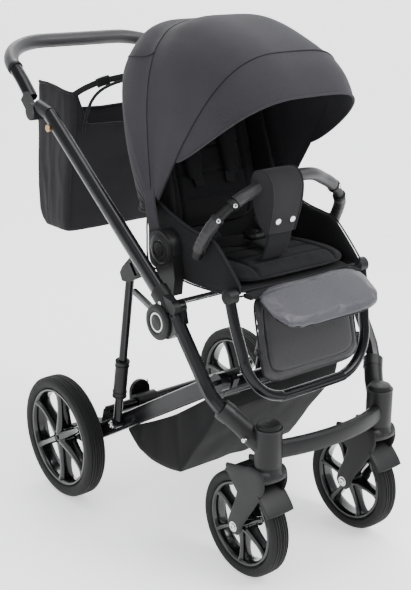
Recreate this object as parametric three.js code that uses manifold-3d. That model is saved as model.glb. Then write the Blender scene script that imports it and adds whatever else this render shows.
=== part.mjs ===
// Pushchair with a folding frame, a seat unit with canopy, a carry bag and a basket.
// Millimetres, +Z up, the child faces -Y, origin on the floor under the middle of the pushchair.
import * as THREE from 'three';
import { mergeVertices } from 'three/addons/utils/BufferGeometryUtils.js';
import Module from 'manifold-3d';

const wasm = await Module();
wasm.setup();

// ---------------------------------------------------------------- driving dimensions
const GAP = 0.4;                       // clearance left between neighbouring pieces
const SIDES = [['right', -1], ['left', 1]];

const REAR_WHEEL = { r: 145, rim: 116, width: 48, x: 268.7, y: 160, bore: 6.6, hub: 21 };
const FRONT_WHEEL = { r: 114.4, rim: 90, width: 44, x: 157.6, y: -369.3, bore: 4.6, hub: 17 };
const SPOKES = 6;

const SWIVEL = { x: 157.6, y: -434.5, r: 28, bottom: 271, top: 352, pin: 7 };
const LEG_R = 15;
const LEG = [[-240, -229, 567], [-239, -254, 530], [-233, -300, 462], [-227, -341, 403],
  [-216, -358, 381], [-203, -370, 367]];
const SOCKET = [[-209, -365, 374], [-190, -386, 350], [-176, -408, 326], [-164, -428, 308]];
const BEAM = { z: 300, height: 38, depth: 26, bow: 41 };

const HINGE = { y: -209, z: 529, r: 37, x: 241, pivotY: -250, pivotZ: 567, pivotR: 13 };
const TUBE = { x: 240, halfWidth: 13, halfHeight: 18, low: [-186, 588], high: [213, 892] };
const SLEEVE = { low: [-249, 540], high: [-186.6, 587.5] };
const HANDLE = { y: 278, z: 891, r: 20, barY: 471, barZ: 1025, barR: 16, corner: 130, halfX: 232 };
const BUTTON = { x: 253.4, y: 197, z: 865, r: 8 };

const ARM = { x: 190, thick: 20, height: 38, front: [-325, 420], rear: [118, 151] };
const LINK = { x: 211, top: [-45, 581], foot: [22, 211], r: 9.5, pin: 5 };
const SHOCK = { r: 15, low: [10, 280], high: [-7, 373] };
const REAR_BAR = { y: 84, z: 213, r: 13, halfX: 196 };
const PEDAL = { x: -88, half: 27, top: 258 };
const CROSS = { y: -290, z: 385, r: 18, halfX: 168, pin: 5 };
const ROD = { y: -184, z: 550, r: 6 };

const HUB = { y: -135, z: 655, r: 38, inner: 169, outer: 200, button: 15 };
const SEAT = { halfX: 168, wall: 12 };
const BACK = { low: [-70, 668], high: [30, 985], halfX: 135, thick: 26 };
const CANOPY = { y: -95, z: 720, front: 122.5, back: -4, halfX: 187, power: 3.6, skin: 5 };
const VISOR = { forward: 68, down: 77, from: 0.36 };
const BUMPER = { y: -240, z: 655, halfX: 184, r: 12 };
const FOOTREST = { y: -340, z: 600, halfX: 170, bottomY: -392, bottomZ: 384, corner: 100, r: 11 };
const PAD = { halfX: 142, thick: 18, back: [-364, 607], front: [-454, 551] };
const BAG = { halfX: 186, skin: 7, lip: 20 };
const BASKET = { halfX: 168, skin: 5 };

// ---------------------------------------------------------------- materials
const finish = (color, roughness, metalness = 0) =>
  new THREE.MeshStandardMaterial({ color, roughness, metalness });
const FRAME = finish(0x232326, 0.42, 0.5);
const PLASTIC = finish(0x1d1d1f, 0.55);
const GLOSS = finish(0x0e0e10, 0.15);
const TYRE = finish(0x2a2a2b, 0.9);
const FABRIC = finish(0x3a3a40, 0.95);
const DARK_FABRIC = finish(0x151517, 0.95);
const LEATHER = finish(0x56555c, 0.5);
const GRIP = finish(0x2c2c2e, 0.6);
const BRONZE = finish(0xa98a5b, 0.3, 1);

// ---------------------------------------------------------------- solids
const V = (x, y, z) => new THREE.Vector3(x, y, z);
const flip = (point, side) => [-point[0] * side, point[1], point[2]];

function toSolid(geometry) {
  const bare = geometry.clone();
  bare.deleteAttribute('normal');
  bare.deleteAttribute('uv');
  const merged = mergeVertices(bare, 1e-3);
  return new wasm.Manifold(new wasm.Mesh({
    numProp: 3,
    vertProperties: new Float32Array(merged.attributes.position.array),
    triVerts: new Uint32Array(merged.index.array),
  }));
}

function toGeometry(solid) {
  const mesh = solid.getMesh();
  const geometry = new THREE.BufferGeometry();
  geometry.setAttribute('position', new THREE.BufferAttribute(mesh.vertProperties, 3));
  geometry.setIndex(new THREE.BufferAttribute(mesh.triVerts, 1));
  return geometry;
}

const join = (...geometries) => toGeometry(geometries.map(toSolid).reduce((a, b) => a.add(b)));
const cut = (geometry, ...tools) =>
  toGeometry(tools.map(toSolid).reduce((a, b) => a.subtract(b), toSolid(geometry)));

// A cylinder along X between two x values.
function drum(x0, x1, y, z, r, segments = 24) {
  const geometry = new THREE.CylinderGeometry(r, r, Math.abs(x1 - x0), segments);
  geometry.rotateZ(Math.PI / 2);
  return geometry.translate((x0 + x1) / 2, y, z);
}

// A cylinder along Z.
function post(x, y, z0, z1, r, segments = 24) {
  const geometry = new THREE.CylinderGeometry(r, r, z1 - z0, segments);
  geometry.rotateX(Math.PI / 2);
  return geometry.translate(x, y, (z0 + z1) / 2);
}

// A superellipse outline, used as the section of bars and tubes.
function oval(halfX, halfY, sides = 16, power = 2) {
  const points = [];
  for (let i = 0; i < sides; i += 1) {
    const a = (2 * Math.PI * (i + 0.5)) / sides;
    const c = Math.cos(a);
    const s = Math.sin(a);
    points.push(new THREE.Vector2(
      halfX * Math.sign(c) * Math.abs(c) ** (2 / power),
      halfY * Math.sign(s) * Math.abs(s) ** (2 / power),
    ));
  }
  return new THREE.Shape(points);
}

// A straight bar between two (y, z) points at one x, its section turned to follow the bar.
function bar(x, low, high, section) {
  const start = V(x, ...low);
  const end = V(x, ...high);
  const along = end.clone().sub(start);
  const geometry = new THREE.ExtrudeGeometry(section, { depth: along.length(), bevelEnabled: false });
  along.normalize();
  const across = V(1, 0, 0);
  const up = along.clone().cross(across);
  geometry.applyMatrix4(new THREE.Matrix4().makeBasis(across, up, along));
  return geometry.translate(start.x, start.y, start.z);
}

// A round tube through a list of points.
function tube(points, r, steps = 16, sides = 12, tension = 0.5) {
  const path = new THREE.CatmullRomCurve3(points.map((p) => V(...p)), false, 'centripetal', tension);
  return new THREE.ExtrudeGeometry(oval(r, r, sides), {
    steps, extrudePath: path, bevelEnabled: false,
  });
}

// A prism along X from a closed outline of (y, z) points.
function prism(x0, x1, outline) {
  const shape = new THREE.Shape(outline.map(([y, z]) => new THREE.Vector2(y, z)));
  const geometry = new THREE.ExtrudeGeometry(shape, { depth: Math.abs(x1 - x0), bevelEnabled: false });
  const turn = new THREE.Matrix4().makeBasis(V(0, 1, 0), V(0, 0, 1), V(1, 0, 0));
  return geometry.applyMatrix4(turn).translate(Math.min(x0, x1), 0, 0);
}

// A ring turned about an axis along X, from a closed profile of (radius, x) pairs.
function turned(profile, x, y, z, segments = 48) {
  const points = profile.map(([radius, offset]) => new THREE.Vector2(radius, offset));
  points.push(points[0].clone());
  const geometry = new THREE.LatheGeometry(points, segments);
  geometry.rotateZ(-Math.PI / 2);
  return geometry.translate(x, y, z);
}

// A closed shell made from an outer grid of points and the same grid moved inwards.
function shell(outer, inner) {
  const rows = outer.length;
  const columns = outer[0].length;
  const positions = [...outer.flat(), ...inner.flat()].flat();
  const index = [];
  const at = (layer, i, j) => layer * rows * columns + i * columns + j;
  const quad = (a, b, c, d) => index.push(a, b, c, a, c, d);
  for (let i = 0; i < rows - 1; i += 1) {
    for (let j = 0; j < columns - 1; j += 1) {
      quad(at(0, i, j), at(0, i, j + 1), at(0, i + 1, j + 1), at(0, i + 1, j));
      quad(at(1, i, j), at(1, i + 1, j), at(1, i + 1, j + 1), at(1, i, j + 1));
    }
  }
  for (let j = 0; j < columns - 1; j += 1) {
    quad(at(0, 0, j), at(1, 0, j), at(1, 0, j + 1), at(0, 0, j + 1));
    quad(at(0, rows - 1, j), at(0, rows - 1, j + 1), at(1, rows - 1, j + 1), at(1, rows - 1, j));
  }
  for (let i = 0; i < rows - 1; i += 1) {
    quad(at(0, i, 0), at(0, i + 1, 0), at(1, i + 1, 0), at(1, i, 0));
    quad(at(0, i, columns - 1), at(1, i, columns - 1), at(1, i + 1, columns - 1), at(0, i + 1, columns - 1));
  }
  const geometry = new THREE.BufferGeometry();
  geometry.setAttribute('position', new THREE.BufferAttribute(new Float32Array(positions), 3));
  geometry.setIndex(index);
  return geometry;
}

const group = new THREE.Group();
function add(name, geometry, material) {
  const mesh = new THREE.Mesh(geometry, material);
  mesh.name = name;
  group.add(mesh);
}

// ---------------------------------------------------------------- wheels
function tyre({ r, rim, width }, x, y) {
  const half = width / 2;
  const profile = [[rim, -half * 0.62], [rim + 8, -half * 0.95], [r - 10, -half], [r, -half * 0.4],
    [r, half * 0.4], [r - 10, half], [rim + 8, half * 0.95], [rim, half * 0.62]];
  return turned(profile, x, y, r, 32);
}

function rim({ r, rim: outer, width, hub, bore }, x, y) {
  const half = width / 2;
  const edge = outer - GAP;
  const ring = turned([[edge - 6, -half * 0.55], [edge, -half * 0.6], [edge, half * 0.6],
    [edge - 6, half * 0.55]], x, y, r, 32);
  const pieces = [ring, drum(x - half * 0.8, x + half * 0.8, y, r, hub, 18)];
  for (let i = 0; i < SPOKES; i += 1) {
    const spoke = new THREE.ExtrudeGeometry(
      new THREE.Shape([[hub - 6, -9], [edge - 3, -6], [edge - 3, 6], [hub - 6, 9]]
        .map(([a, b]) => new THREE.Vector2(a, b))),
      { depth: half * 0.8, bevelEnabled: false },
    );
    spoke.applyMatrix4(new THREE.Matrix4().makeBasis(V(0, 1, 0), V(0, 0, 1), V(1, 0, 0)));
    spoke.translate(-half * 0.4, 0, 0);
    spoke.rotateX(Math.PI / 2 + (2 * Math.PI * i) / SPOKES);
    pieces.push(spoke.translate(x, y, r));
  }
  return cut(join(...pieces), drum(x - width, x + width, y, r, bore, 12));
}

for (const [name, side] of SIDES) {
  add(`rear_tyre_${name}`, tyre(REAR_WHEEL, side * REAR_WHEEL.x, REAR_WHEEL.y), TYRE);
  add(`rear_rim_${name}`, rim(REAR_WHEEL, side * REAR_WHEEL.x, REAR_WHEEL.y), GLOSS);
  add(`front_tyre_${name}`, tyre(FRONT_WHEEL, side * FRONT_WHEEL.x, FRONT_WHEEL.y), TYRE);
  add(`front_rim_${name}`, rim(FRONT_WHEEL, side * FRONT_WHEEL.x, FRONT_WHEEL.y), GLOSS);
}

// ---------------------------------------------------------------- front chassis
function fork(x) {
  const wheel = FRONT_WHEEL;
  const inner = wheel.width / 2 + 4;
  const outer = inner + 9;
  const hood = [];
  const from = 74;
  const to = 150;
  const steps = 8;
  for (const [radius, first, last] of [[wheel.r + 12, from, to], [wheel.r + 6, to, from]]) {
    for (let i = 0; i <= steps; i += 1) {
      const a = THREE.MathUtils.degToRad(first + ((last - first) * i) / steps);
      hood.push([wheel.y + radius * Math.cos(a), wheel.r + radius * Math.sin(a)]);
    }
  }
  const cheek = [[SWIVEL.y - 24, 262], [SWIVEL.y - 26, 230], [wheel.y - 19, wheel.r - 6],
    [wheel.y - 8, wheel.r - 18], [wheel.y + 12, wheel.r - 16], [wheel.y + 19, wheel.r + 4],
    [wheel.y + 2, 232], [SWIVEL.y + 27, 262]];
  const pieces = [prism(x - outer, x + outer, hood),
    prism(x - outer, x - inner, cheek), prism(x + inner, x + outer, cheek),
    prism(x - outer, x + outer, [[SWIVEL.y - 24, 262], [SWIVEL.y - 26, 235], [SWIVEL.y - 4, 236],
      [SWIVEL.y + 32, 243.5], [SWIVEL.y + 40, 252], [SWIVEL.y + 27, 262]]),
    post(x, SWIVEL.y, 255, SWIVEL.bottom - 1, 25),
    post(x, SWIVEL.y, 255, SWIVEL.bottom + 40, SWIVEL.pin, 16),
    drum(x - outer, x + outer, wheel.y, wheel.r, wheel.bore - 0.4, 16)];
  return join(...pieces);
}

function legPath(points, side) {
  return points.map((p) => flip(p, side));
}

function socket(side) {
  const x = side * SWIVEL.x;
  const housing = join(
    post(x, SWIVEL.y, SWIVEL.bottom, SWIVEL.top, SWIVEL.r),
    post(x, SWIVEL.y, SWIVEL.top - 1, SWIVEL.top + 8, SWIVEL.r - 6),
    tube(legPath(SOCKET, side), 20.5, 5, 12),
  );
  return cut(housing,
    post(x, SWIVEL.y, SWIVEL.bottom - 5, SWIVEL.bottom + 42, SWIVEL.pin + 0.5, 16),
    tube(legPath(LEG, side), LEG_R + GAP, 9, 10));
}

function frontBeam() {
  const half = SWIVEL.x;
  const curve = [];
  const count = 14;
  for (let i = 0; i <= count; i += 1) {
    const t = (2 * i) / count - 1;
    curve.push([t * half, SWIVEL.y - BEAM.bow * (1 - t * t), BEAM.z + 8 * (1 - t * t)]);
  }
  const path = new THREE.CatmullRomCurve3(curve.map((p) => V(...p)));
  const beam = new THREE.ExtrudeGeometry(oval(BEAM.height / 2, BEAM.depth / 2, 12, 2.8), {
    steps: 12, extrudePath: path, bevelEnabled: false,
  });
  const clear = SIDES.map(([, side]) =>
    post(side * SWIVEL.x, SWIVEL.y, SWIVEL.bottom - 20, SWIVEL.top + 20, SWIVEL.r + GAP, 24));
  const arms = SIDES.map(([, side]) => tube(legPath(SOCKET, side), 20.5 + GAP, 5, 12));
  return cut(beam, ...clear, ...arms);
}

// A block that fills one side of the joint face between the leg and the folding half.
function jointBlock(side, above) {
  const { y, z, pivotY, pivotZ } = HINGE;
  const length = Math.hypot(y - pivotY, z - pivotZ);
  const u = [(y - pivotY) / length, (z - pivotZ) / length];
  const n = [-u[1] * above, u[0] * above];
  const at = (a, b) => [pivotY + u[0] * a + n[0] * b, pivotZ + u[1] * a + n[1] * b];
  return prism(side * 205, side * 275, [at(-60, -0.5), at(120, -0.5), at(120, 100), at(-60, 100)]);
}

for (const [name, side] of SIDES) {
  const pivot = [HINGE.pivotY, HINGE.pivotZ];
  const web = prism(side * 226, side * 256, [[-266, 520], [-246, 556], [-200, 520], [-212, 496], [-240, 500]]);
  const upperEnd = join(
    cut(join(tube(legPath(LEG, side), LEG_R, 9, 10), web), jointBlock(side, 1)),
    drum(side * 226, side * (HINGE.x - GAP), ...pivot, HINGE.pivotR, 20),
    prism(side * 226, side * (HINGE.x - GAP), [[-262, 562], [-268, 535], [-250, 530], [-243, 555]]),
  );
  add(`front_leg_${name}`, cut(upperEnd,
    drum(side * (HINGE.x - 0.2), side * 275, ...pivot, HINGE.pivotR + 0.6, 20)), FRAME);
  add(`hinge_disc_${name}`, drum(side * 257.6, side * 263, HINGE.y, HINGE.z, HINGE.r, 32), PLASTIC);
  add(`leg_socket_${name}`, socket(side), PLASTIC);
  add(`front_fork_${name}`, fork(side * SWIVEL.x), PLASTIC);
}
add('front_beam', frontBeam(), PLASTIC);

const legBores = SIDES.map(([, side]) => tube(legPath(LEG, side), LEG_R + GAP, 9, 10));
const crossTube = join(
  drum(-CROSS.halfX, CROSS.halfX, CROSS.y, CROSS.z, CROSS.r),
  ...SIDES.flatMap(([, side]) => [
    drum(side * (CROSS.halfX - 1), side * (CROSS.halfX + 4), CROSS.y, CROSS.z, CROSS.r + 2),
    prism(side * 152, side * 166, [[-285, 378], [-330, 402], [-338, 422], [-325, 432], [-285, 402]]),
    drum(side * 160, side * 222, ARM.front[0], ARM.front[1], CROSS.pin, 16),
  ]),
);
add('cross_tube', cut(crossTube, ...legBores), FRAME);
add('hinge_rod', drum(-223.5, 223.5, ROD.y, ROD.z, ROD.r, 12), FRAME);

// ---------------------------------------------------------------- folding frame, upper half
for (const [name, side] of SIDES) {
  const x = side * TUBE.x;
  add(`upper_tube_${name}`, cut(
    bar(x, TUBE.low, TUBE.high, oval(TUBE.halfWidth, TUBE.halfHeight, 14, 2.4)),
    drum(side * (BUTTON.x - 4.5), side * 270, BUTTON.y, BUTTON.z, BUTTON.r + 0.6, 16)), FRAME);
  const cover = join(
    cut(bar(x, SLEEVE.low, SLEEVE.high, oval(17, 22, 14, 2.4)), jointBlock(side, -1)),
    drum(side * (HINGE.x + 0.2), side * 256, HINGE.pivotY, HINGE.pivotZ, HINGE.pivotR, 20),
    prism(side * (HINGE.x + 0.2), side * 256, [[-248, 571], [-236, 561], [-222, 588], [-252, 583]]),
  );
  add(`hinge_cover_${name}`, cut(cover,
    drum(side * 205, side * HINGE.x, HINGE.pivotY, HINGE.pivotZ, HINGE.pivotR + 0.6, 20)), PLASTIC);
  const cheek = prism(side * 221.5, side * 229, [[-150, 612], [-60, 570], [-38, 568], [-30, 585],
    [-40, 600], [-92, 648], [-120, 640]]);
  const ribs = [0, 1, 2].map((i) => prism(side * 228, side * 236, [[-128 + i * 16, 606 - i * 6],
    [-122 + i * 16, 604 - i * 6], [-104 + i * 16, 626 - i * 6], [-110 + i * 16, 630 - i * 6]]));
  add(`link_bracket_${name}`, cut(join(cheek, ...ribs),
    bar(x, TUBE.low, TUBE.high, oval(TUBE.halfWidth + GAP, TUBE.halfHeight + GAP, 14, 2.4)),
    bar(x, SLEEVE.low, SLEEVE.high, oval(17.5, 22.5, 14, 2.4))), PLASTIC);
  const knuckle = join(
    drum(side * 228, side * 240, HANDLE.y, HANDLE.z, HANDLE.r, 20),
    bar(x, [213.6, 892.5], [262, 905], oval(12, 15, 14, 2.4)),
  );
  add(`handle_knuckle_${name}`, cut(knuckle,
    drum(side * 240, side * 262, HANDLE.y, HANDLE.z, HANDLE.r + 3, 20),
    bar(x, TUBE.low, TUBE.high, oval(TUBE.halfWidth + 1, TUBE.halfHeight + 1, 14, 2.4))), PLASTIC);
  add(`fold_button_${name}`, drum(side * (BUTTON.x - 1), side * (BUTTON.x + 5), BUTTON.y, BUTTON.z,
    BUTTON.r, 16), BRONZE);
}

// ---------------------------------------------------------------- rear frame and its links
const armSection = oval(ARM.thick / 2, ARM.height / 2, 16, 4);
const armClear = oval(ARM.thick / 2 + GAP, ARM.height / 2 + GAP, 16, 4);
for (const [name, side] of SIDES) {
  const x = side * ARM.x;
  const arm = join(
    bar(x, ARM.front, ARM.rear, armSection),
    drum(x - ARM.thick / 2, x + ARM.thick / 2, ...ARM.front, ARM.height / 2, 20),
    drum(side * (ARM.x + 5), side * (LINK.x + 11), ...LINK.foot, LINK.pin, 16),
  );
  add(`rear_arm_${name}`, cut(arm, drum(side * 150, side * 230, ...ARM.front, CROSS.pin + 0.5, 16)), FRAME);
  const carrier = join(
    prism(side * 176, side * 236, [[104, 140], [112, 172], [140, 172], [178, 160], [184, 140],
      [166, 126], [124, 128]]),
    drum(side * 234, side * 244, REAR_WHEEL.y, REAR_WHEEL.r, 19),
    drum(side * 240, side * 292, REAR_WHEEL.y, REAR_WHEEL.r, REAR_WHEEL.bore - 0.5, 16),
  );
  add(`wheel_carrier_${name}`, cut(carrier, bar(x, ARM.front, ARM.rear, armClear)), PLASTIC);
  const eye = drum(side * (LINK.x - 8), side * (LINK.x + 8), ...LINK.top, 11, 20);
  const foot = drum(side * (LINK.x - 9.5), side * (LINK.x + 9.5), ...LINK.foot, 12, 20);
  const round = oval(LINK.r, LINK.r, 14);
  const linkSolid = join(eye, foot, bar(side * LINK.x, LINK.foot, LINK.top, round));
  add(`link_tube_${name}`, cut(linkSolid,
    drum(side * 180, side * 240, ...LINK.foot, LINK.pin + 0.5, 16)), FRAME);
  const sleeve = join(bar(side * LINK.x, SHOCK.low, SHOCK.high, oval(SHOCK.r, SHOCK.r, 18)));
  add(`shock_sleeve_${name}`, cut(sleeve,
    bar(side * LINK.x, LINK.foot, LINK.top, oval(LINK.r + GAP, LINK.r + GAP, 14))), PLASTIC);
}
const armCuts = SIDES.map(([, side]) => bar(side * ARM.x, ARM.front, ARM.rear, armClear));
add('rear_bar', cut(join(
  drum(-REAR_BAR.halfX, REAR_BAR.halfX, REAR_BAR.y, REAR_BAR.z, REAR_BAR.r, 20),
  ...SIDES.map(([, side]) => prism(side * 182, side * 197, [[60, 196], [66, 214], [100, 214], [112, 170]])),
), ...armCuts), FRAME);
const paddle = [];
for (let i = 0; i <= 10; i += 1) {
  const a = (Math.PI * i) / 10;
  paddle.push(new THREE.Vector2(PEDAL.half * Math.cos(a), PEDAL.top - 27 + PEDAL.half * Math.sin(a)));
}
paddle.push(new THREE.Vector2(-PEDAL.half, REAR_BAR.z - 4), new THREE.Vector2(PEDAL.half, REAR_BAR.z - 4));
const blade = new THREE.ExtrudeGeometry(new THREE.Shape(paddle), { depth: 10, bevelEnabled: false });
blade.rotateX(Math.PI / 2).translate(PEDAL.x, REAR_BAR.y + 16 + REAR_BAR.r, 0);
add('brake_pedal', cut(join(blade,
  drum(PEDAL.x - PEDAL.half, PEDAL.x + PEDAL.half, REAR_BAR.y, REAR_BAR.z, REAR_BAR.r + 7, 20)),
drum(PEDAL.x - 60, PEDAL.x + 60, REAR_BAR.y, REAR_BAR.z, REAR_BAR.r + 0.6, 20)), PLASTIC);

// ---------------------------------------------------------------- push handle
function handleBar() {
  const { y, z, barY, barZ, corner, halfX, barR } = HANDLE;
  const steps = 5;
  const points = [];
  points.push([-halfX, y + 28, z + 26], [-halfX, y + 60, z + 58]);
  const foot = V(-halfX, y + 92, z + 84);
  const top = V(-halfX + corner, barY, barZ);
  for (let i = 0; i <= steps; i += 1) {
    const a = (Math.PI / 2) * (i / steps);
    points.push([
      foot.x + (top.x - foot.x) * (1 - Math.cos(a)),
      foot.y + (top.y - foot.y) * Math.sin(a),
      foot.z + (top.z - foot.z) * Math.sin(a),
    ]);
  }
  const all = [...points, ...points.slice().reverse().map(([px, py, pz]) => [-px, py, pz])];
  return tube(all, barR, 28, 10);
}
const handleCut = SIDES.map(([, side]) =>
  drum(side * 200, side * (240 + GAP), HANDLE.y, HANDLE.z, HANDLE.r + 6, 20));
add('push_handle', cut(handleBar(), ...handleCut), GRIP);
for (const [name, side] of SIDES) {
  const joint = join(
    drum(side * (240 + GAP), side * 254, HANDLE.y, HANDLE.z, HANDLE.r, 20),
    prism(side * (240 + GAP), side * 252, [[HANDLE.y - 4, HANDLE.z + 18], [HANDLE.y + 20, HANDLE.z],
      [HANDLE.y + 42, HANDLE.z + 22], [HANDLE.y + 24, HANDLE.z + 42]]),
  );
  add(`handle_joint_${name}`, cut(joint, tube([[side * HANDLE.halfX, HANDLE.y + 20, HANDLE.z + 18],
    [side * HANDLE.halfX, HANDLE.y + 28, HANDLE.z + 26], [side * HANDLE.halfX, HANDLE.y + 60, HANDLE.z + 58]],
  HANDLE.barR + 0.8, 6, 10)), PLASTIC);
}

// ---------------------------------------------------------------- seat unit
const seatSide = [[-52, 596], [-200, 586], [-344, 600], [-346, 622], [-279, 690], [-200, 704],
  [-120, 726], [-76, 742], [-44, 700]];
const seatHollow = [[-20, 618], [-200, 612], [-360, 623], [-360, 760], [-20, 760]];
add('seat_shell', cut(prism(-SEAT.halfX, SEAT.halfX, seatSide),
  prism(-SEAT.halfX + SEAT.wall, SEAT.halfX - SEAT.wall, seatHollow)), DARK_FABRIC);
add('seat_cushion', prism(-SEAT.halfX + SEAT.wall + 2, SEAT.halfX - SEAT.wall - 2,
  [[-88, 624], [-200, 614], [-338, 624.5], [-344, 632], [-330, 640], [-200, 634], [-88, 640]]), FABRIC);
for (const [name, side] of SIDES) {
  const hub = join(
    drum(side * HUB.inner, side * HUB.outer, HUB.y, HUB.z, HUB.r, 28),
    prism(side * 172, side * 196, [[-104, 640], [-120, 600], [-150, 558], [-176, 562], [-182, 600],
      [-172, 650]]),
  );
  add(`seat_hub_${name}`, cut(hub,
    drum(side * (HUB.outer - 6), side * 230, HUB.y, HUB.z, HUB.button + 0.5, 20),
    drum(side * 160, side * 200, ROD.y, ROD.z, ROD.r + 1, 12)), PLASTIC);
  add(`recline_button_${name}`, drum(side * (HUB.outer - 1.6), side * (HUB.outer + 3), HUB.y, HUB.z,
    HUB.button, 20), PLASTIC);
}

const lean = [BACK.high[0] - BACK.low[0], BACK.high[1] - BACK.low[1]];
const leanLength = Math.hypot(...lean);
const behind = [(BACK.thick * lean[1]) / leanLength, (-BACK.thick * lean[0]) / leanLength];
add('backrest', prism(-BACK.halfX, BACK.halfX, [BACK.low, BACK.high,
  [BACK.high[0] + behind[0], BACK.high[1] + behind[1]],
  [BACK.low[0] + behind[0], BACK.low[1] + behind[1]]]), DARK_FABRIC);

// ---------------------------------------------------------------- canopy
const radians = THREE.MathUtils.degToRad;
const CROWN = [[-4, 96], [12, 108], [26, 139], [40, 196], [52, 284], [62, 369], [72, 398], [82, 384], [92, 396],
  [102, 397], [112, 396], [122.5, 396]];

function crown(angle) {
  const i = Math.max(1, CROWN.findIndex(([a]) => a >= angle - 1e-9));
  const [a0, r0] = CROWN[i - 1];
  const [a1, r1] = CROWN[i];
  const t = (angle - a0) / (a1 - a0);
  return r0 + (r1 - r0) * (t * t * (3 - 2 * t) * 0.4 + t * 0.6);
}

// A point of the bow at an angle from the pivot, u from 0 at one foot to 1 at the other.
function bowPoint(angle, u, from, inset) {
  const start = Math.asin(from ** (CANOPY.power / 2));
  const a = start + (Math.PI - 2 * start) * u;
  const x = (CANOPY.halfX - inset) * -Math.sign(Math.cos(a)) * Math.abs(Math.cos(a)) ** (2 / CANOPY.power);
  const r = (crown(angle) - inset) * Math.sin(a) ** (2 / CANOPY.power);
  return [x, CANOPY.y + r * Math.cos(radians(angle)), CANOPY.z + r * Math.sin(radians(angle))];
}

const COLUMNS = 16;
const columns = Array.from({ length: COLUMNS + 1 }, (_, j) => j / COLUMNS);
const ANGLES = [-4, 12, 26, 40, 52, 62, 72, 82, 92, 102, 112, 122.5];
const canopyGrid = (inset) => ANGLES.map((angle) => columns.map((u) => bowPoint(angle, u, 0.1, inset)));
add('canopy_cover', shell(canopyGrid(0).reverse(), canopyGrid(CANOPY.skin).reverse()), FABRIC);

function visorGrid(inset) {
  return [0, 0.34, 0.67, 1].map((t) => columns.map((u) => {
    const [x, y, z] = bowPoint(CANOPY.front, u, VISOR.from, inset);
    const r = Math.hypot(y - CANOPY.y, z - CANOPY.z) / crown(CANOPY.front);
    const w = Math.max(0.06, (r - VISOR.from) / (1 - VISOR.from)) ** 0.8;
    const bulge = 12 * Math.sin(Math.PI * t) * w;
    return [x * (1 - 0.02 * t), y - 1 - t * w * VISOR.forward - bulge * 0.6,
      z - t * w * VISOR.down + bulge * 0.5];
  }));
}
add('canopy_visor', shell(visorGrid(0).reverse(), visorGrid(CANOPY.skin).reverse()), FABRIC);

// ---------------------------------------------------------------- bumper bar
const bumperHalf = [[-BUMPER.halfX, BUMPER.y, BUMPER.z + 4], [-184, -256, 690], [-173, -279, 732],
  [-134, -296, 771], [-91, -306, 794], [-49, -320, 810]];
const bumperPath = [...bumperHalf, [0, -324, 814],
  ...bumperHalf.slice().reverse().map(([x, y, z]) => [-x, y, z])];
add('bumper_bar', tube(bumperPath, BUMPER.r, 22, 10), GRIP);
add('bumper_cover', cut(prism(-88, -2, [[-289, 806], [-301, 829], [-330, 832], [-348, 814], [-352, 770],
  [-336, 706], [-327, 708], [-340, 768], [-338, 800], [-304, 788], [-300, 724], [-290, 726]]),
tube(bumperPath, BUMPER.r + 1.2, 22, 10)), FABRIC);

// ---------------------------------------------------------------- footrest
function uFrame(inset, r) {
  const { y, z, halfX, bottomY, bottomZ, corner } = FOOTREST;
  const half = halfX - inset;
  const radius = corner - inset * 0.5;
  const points = [[-half - 12, y, z], [-half - 8, y - 14, z - 60]];
  const fall = [bottomY - y, bottomZ + inset - z];
  const share = 1 - radius / Math.hypot(...fall);
  const bend = [y + fall[0] * share, z + fall[1] * share];
  for (let i = 0; i <= 6; i += 1) {
    const a = (Math.PI / 2) * (i / 6);
    points.push([-half + radius * (1 - Math.cos(a)),
      bend[0] + (bottomY - bend[0]) * Math.sin(a), bend[1] + (bottomZ + inset - bend[1]) * Math.sin(a)]);
  }
  return tube([...points, ...points.slice().reverse().map(([px, py, pz]) => [-px, py, pz])], r, 22, 8);
}
add('footrest_frame', uFrame(0, FOOTREST.r), PLASTIC);
const calf = [];
for (let i = 0; i <= 12; i += 1) {
  const a = Math.PI + (Math.PI * i) / 12;
  calf.push(new THREE.Vector2(134 * Math.sign(Math.cos(a)) * Math.abs(Math.cos(a)) ** 0.6,
    -88 + 100 * Math.sign(Math.sin(a)) * Math.abs(Math.sin(a)) ** 0.6));
}
calf.push(new THREE.Vector2(134, 0), new THREE.Vector2(-134, 0));
const calfPanel = new THREE.ExtrudeGeometry(new THREE.Shape(calf), { depth: 16, bevelEnabled: false });
calfPanel.rotateX(Math.PI / 2).rotateX(radians(-13)).translate(0, -340, 596);
add('calf_panel', calfPanel, LEATHER);

const padShape = [];
for (let i = 0; i <= 12; i += 1) {
  const a = Math.PI + (Math.PI * i) / 12;
  padShape.push(new THREE.Vector2(PAD.halfX * Math.sign(Math.cos(a)) * Math.abs(Math.cos(a)) ** 0.55,
    -22 + 84 * Math.sign(Math.sin(a)) * Math.abs(Math.sin(a)) ** 0.55));
}
padShape.push(new THREE.Vector2(PAD.halfX, 0), new THREE.Vector2(-PAD.halfX, 0));
const padSlope = Math.atan2(PAD.back[1] - PAD.front[1], PAD.back[0] - PAD.front[0]);
const footPad = new THREE.ExtrudeGeometry(new THREE.Shape(padShape), { depth: PAD.thick, bevelEnabled: false });
footPad.rotateX(padSlope).translate(0, PAD.back[0], PAD.back[1]);
add('footrest_pad', footPad, LEATHER);

// ---------------------------------------------------------------- bag and basket
const bagSide = [[202, 932], [207, 866], [232, 772], [262, 604], [300, 596], [366, 598], [393, 640],
  [381, 852], [368, 948], [290, 948]];
const bagHollow = [[209, 1000], [215, 850], [240, 772], [269, 611], [300, 604], [362, 606], [385, 642],
  [373, 852], [361, 1000]];
add('carry_bag', cut(prism(-BAG.halfX, BAG.halfX, bagSide),
  prism(-BAG.halfX + BAG.skin, BAG.halfX - BAG.skin, bagHollow),
  prism(-BAG.halfX + BAG.lip, BAG.halfX - BAG.lip, [[150, 868], [450, 868], [450, 1000], [150, 1000]])),
DARK_FABRIC);

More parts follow.
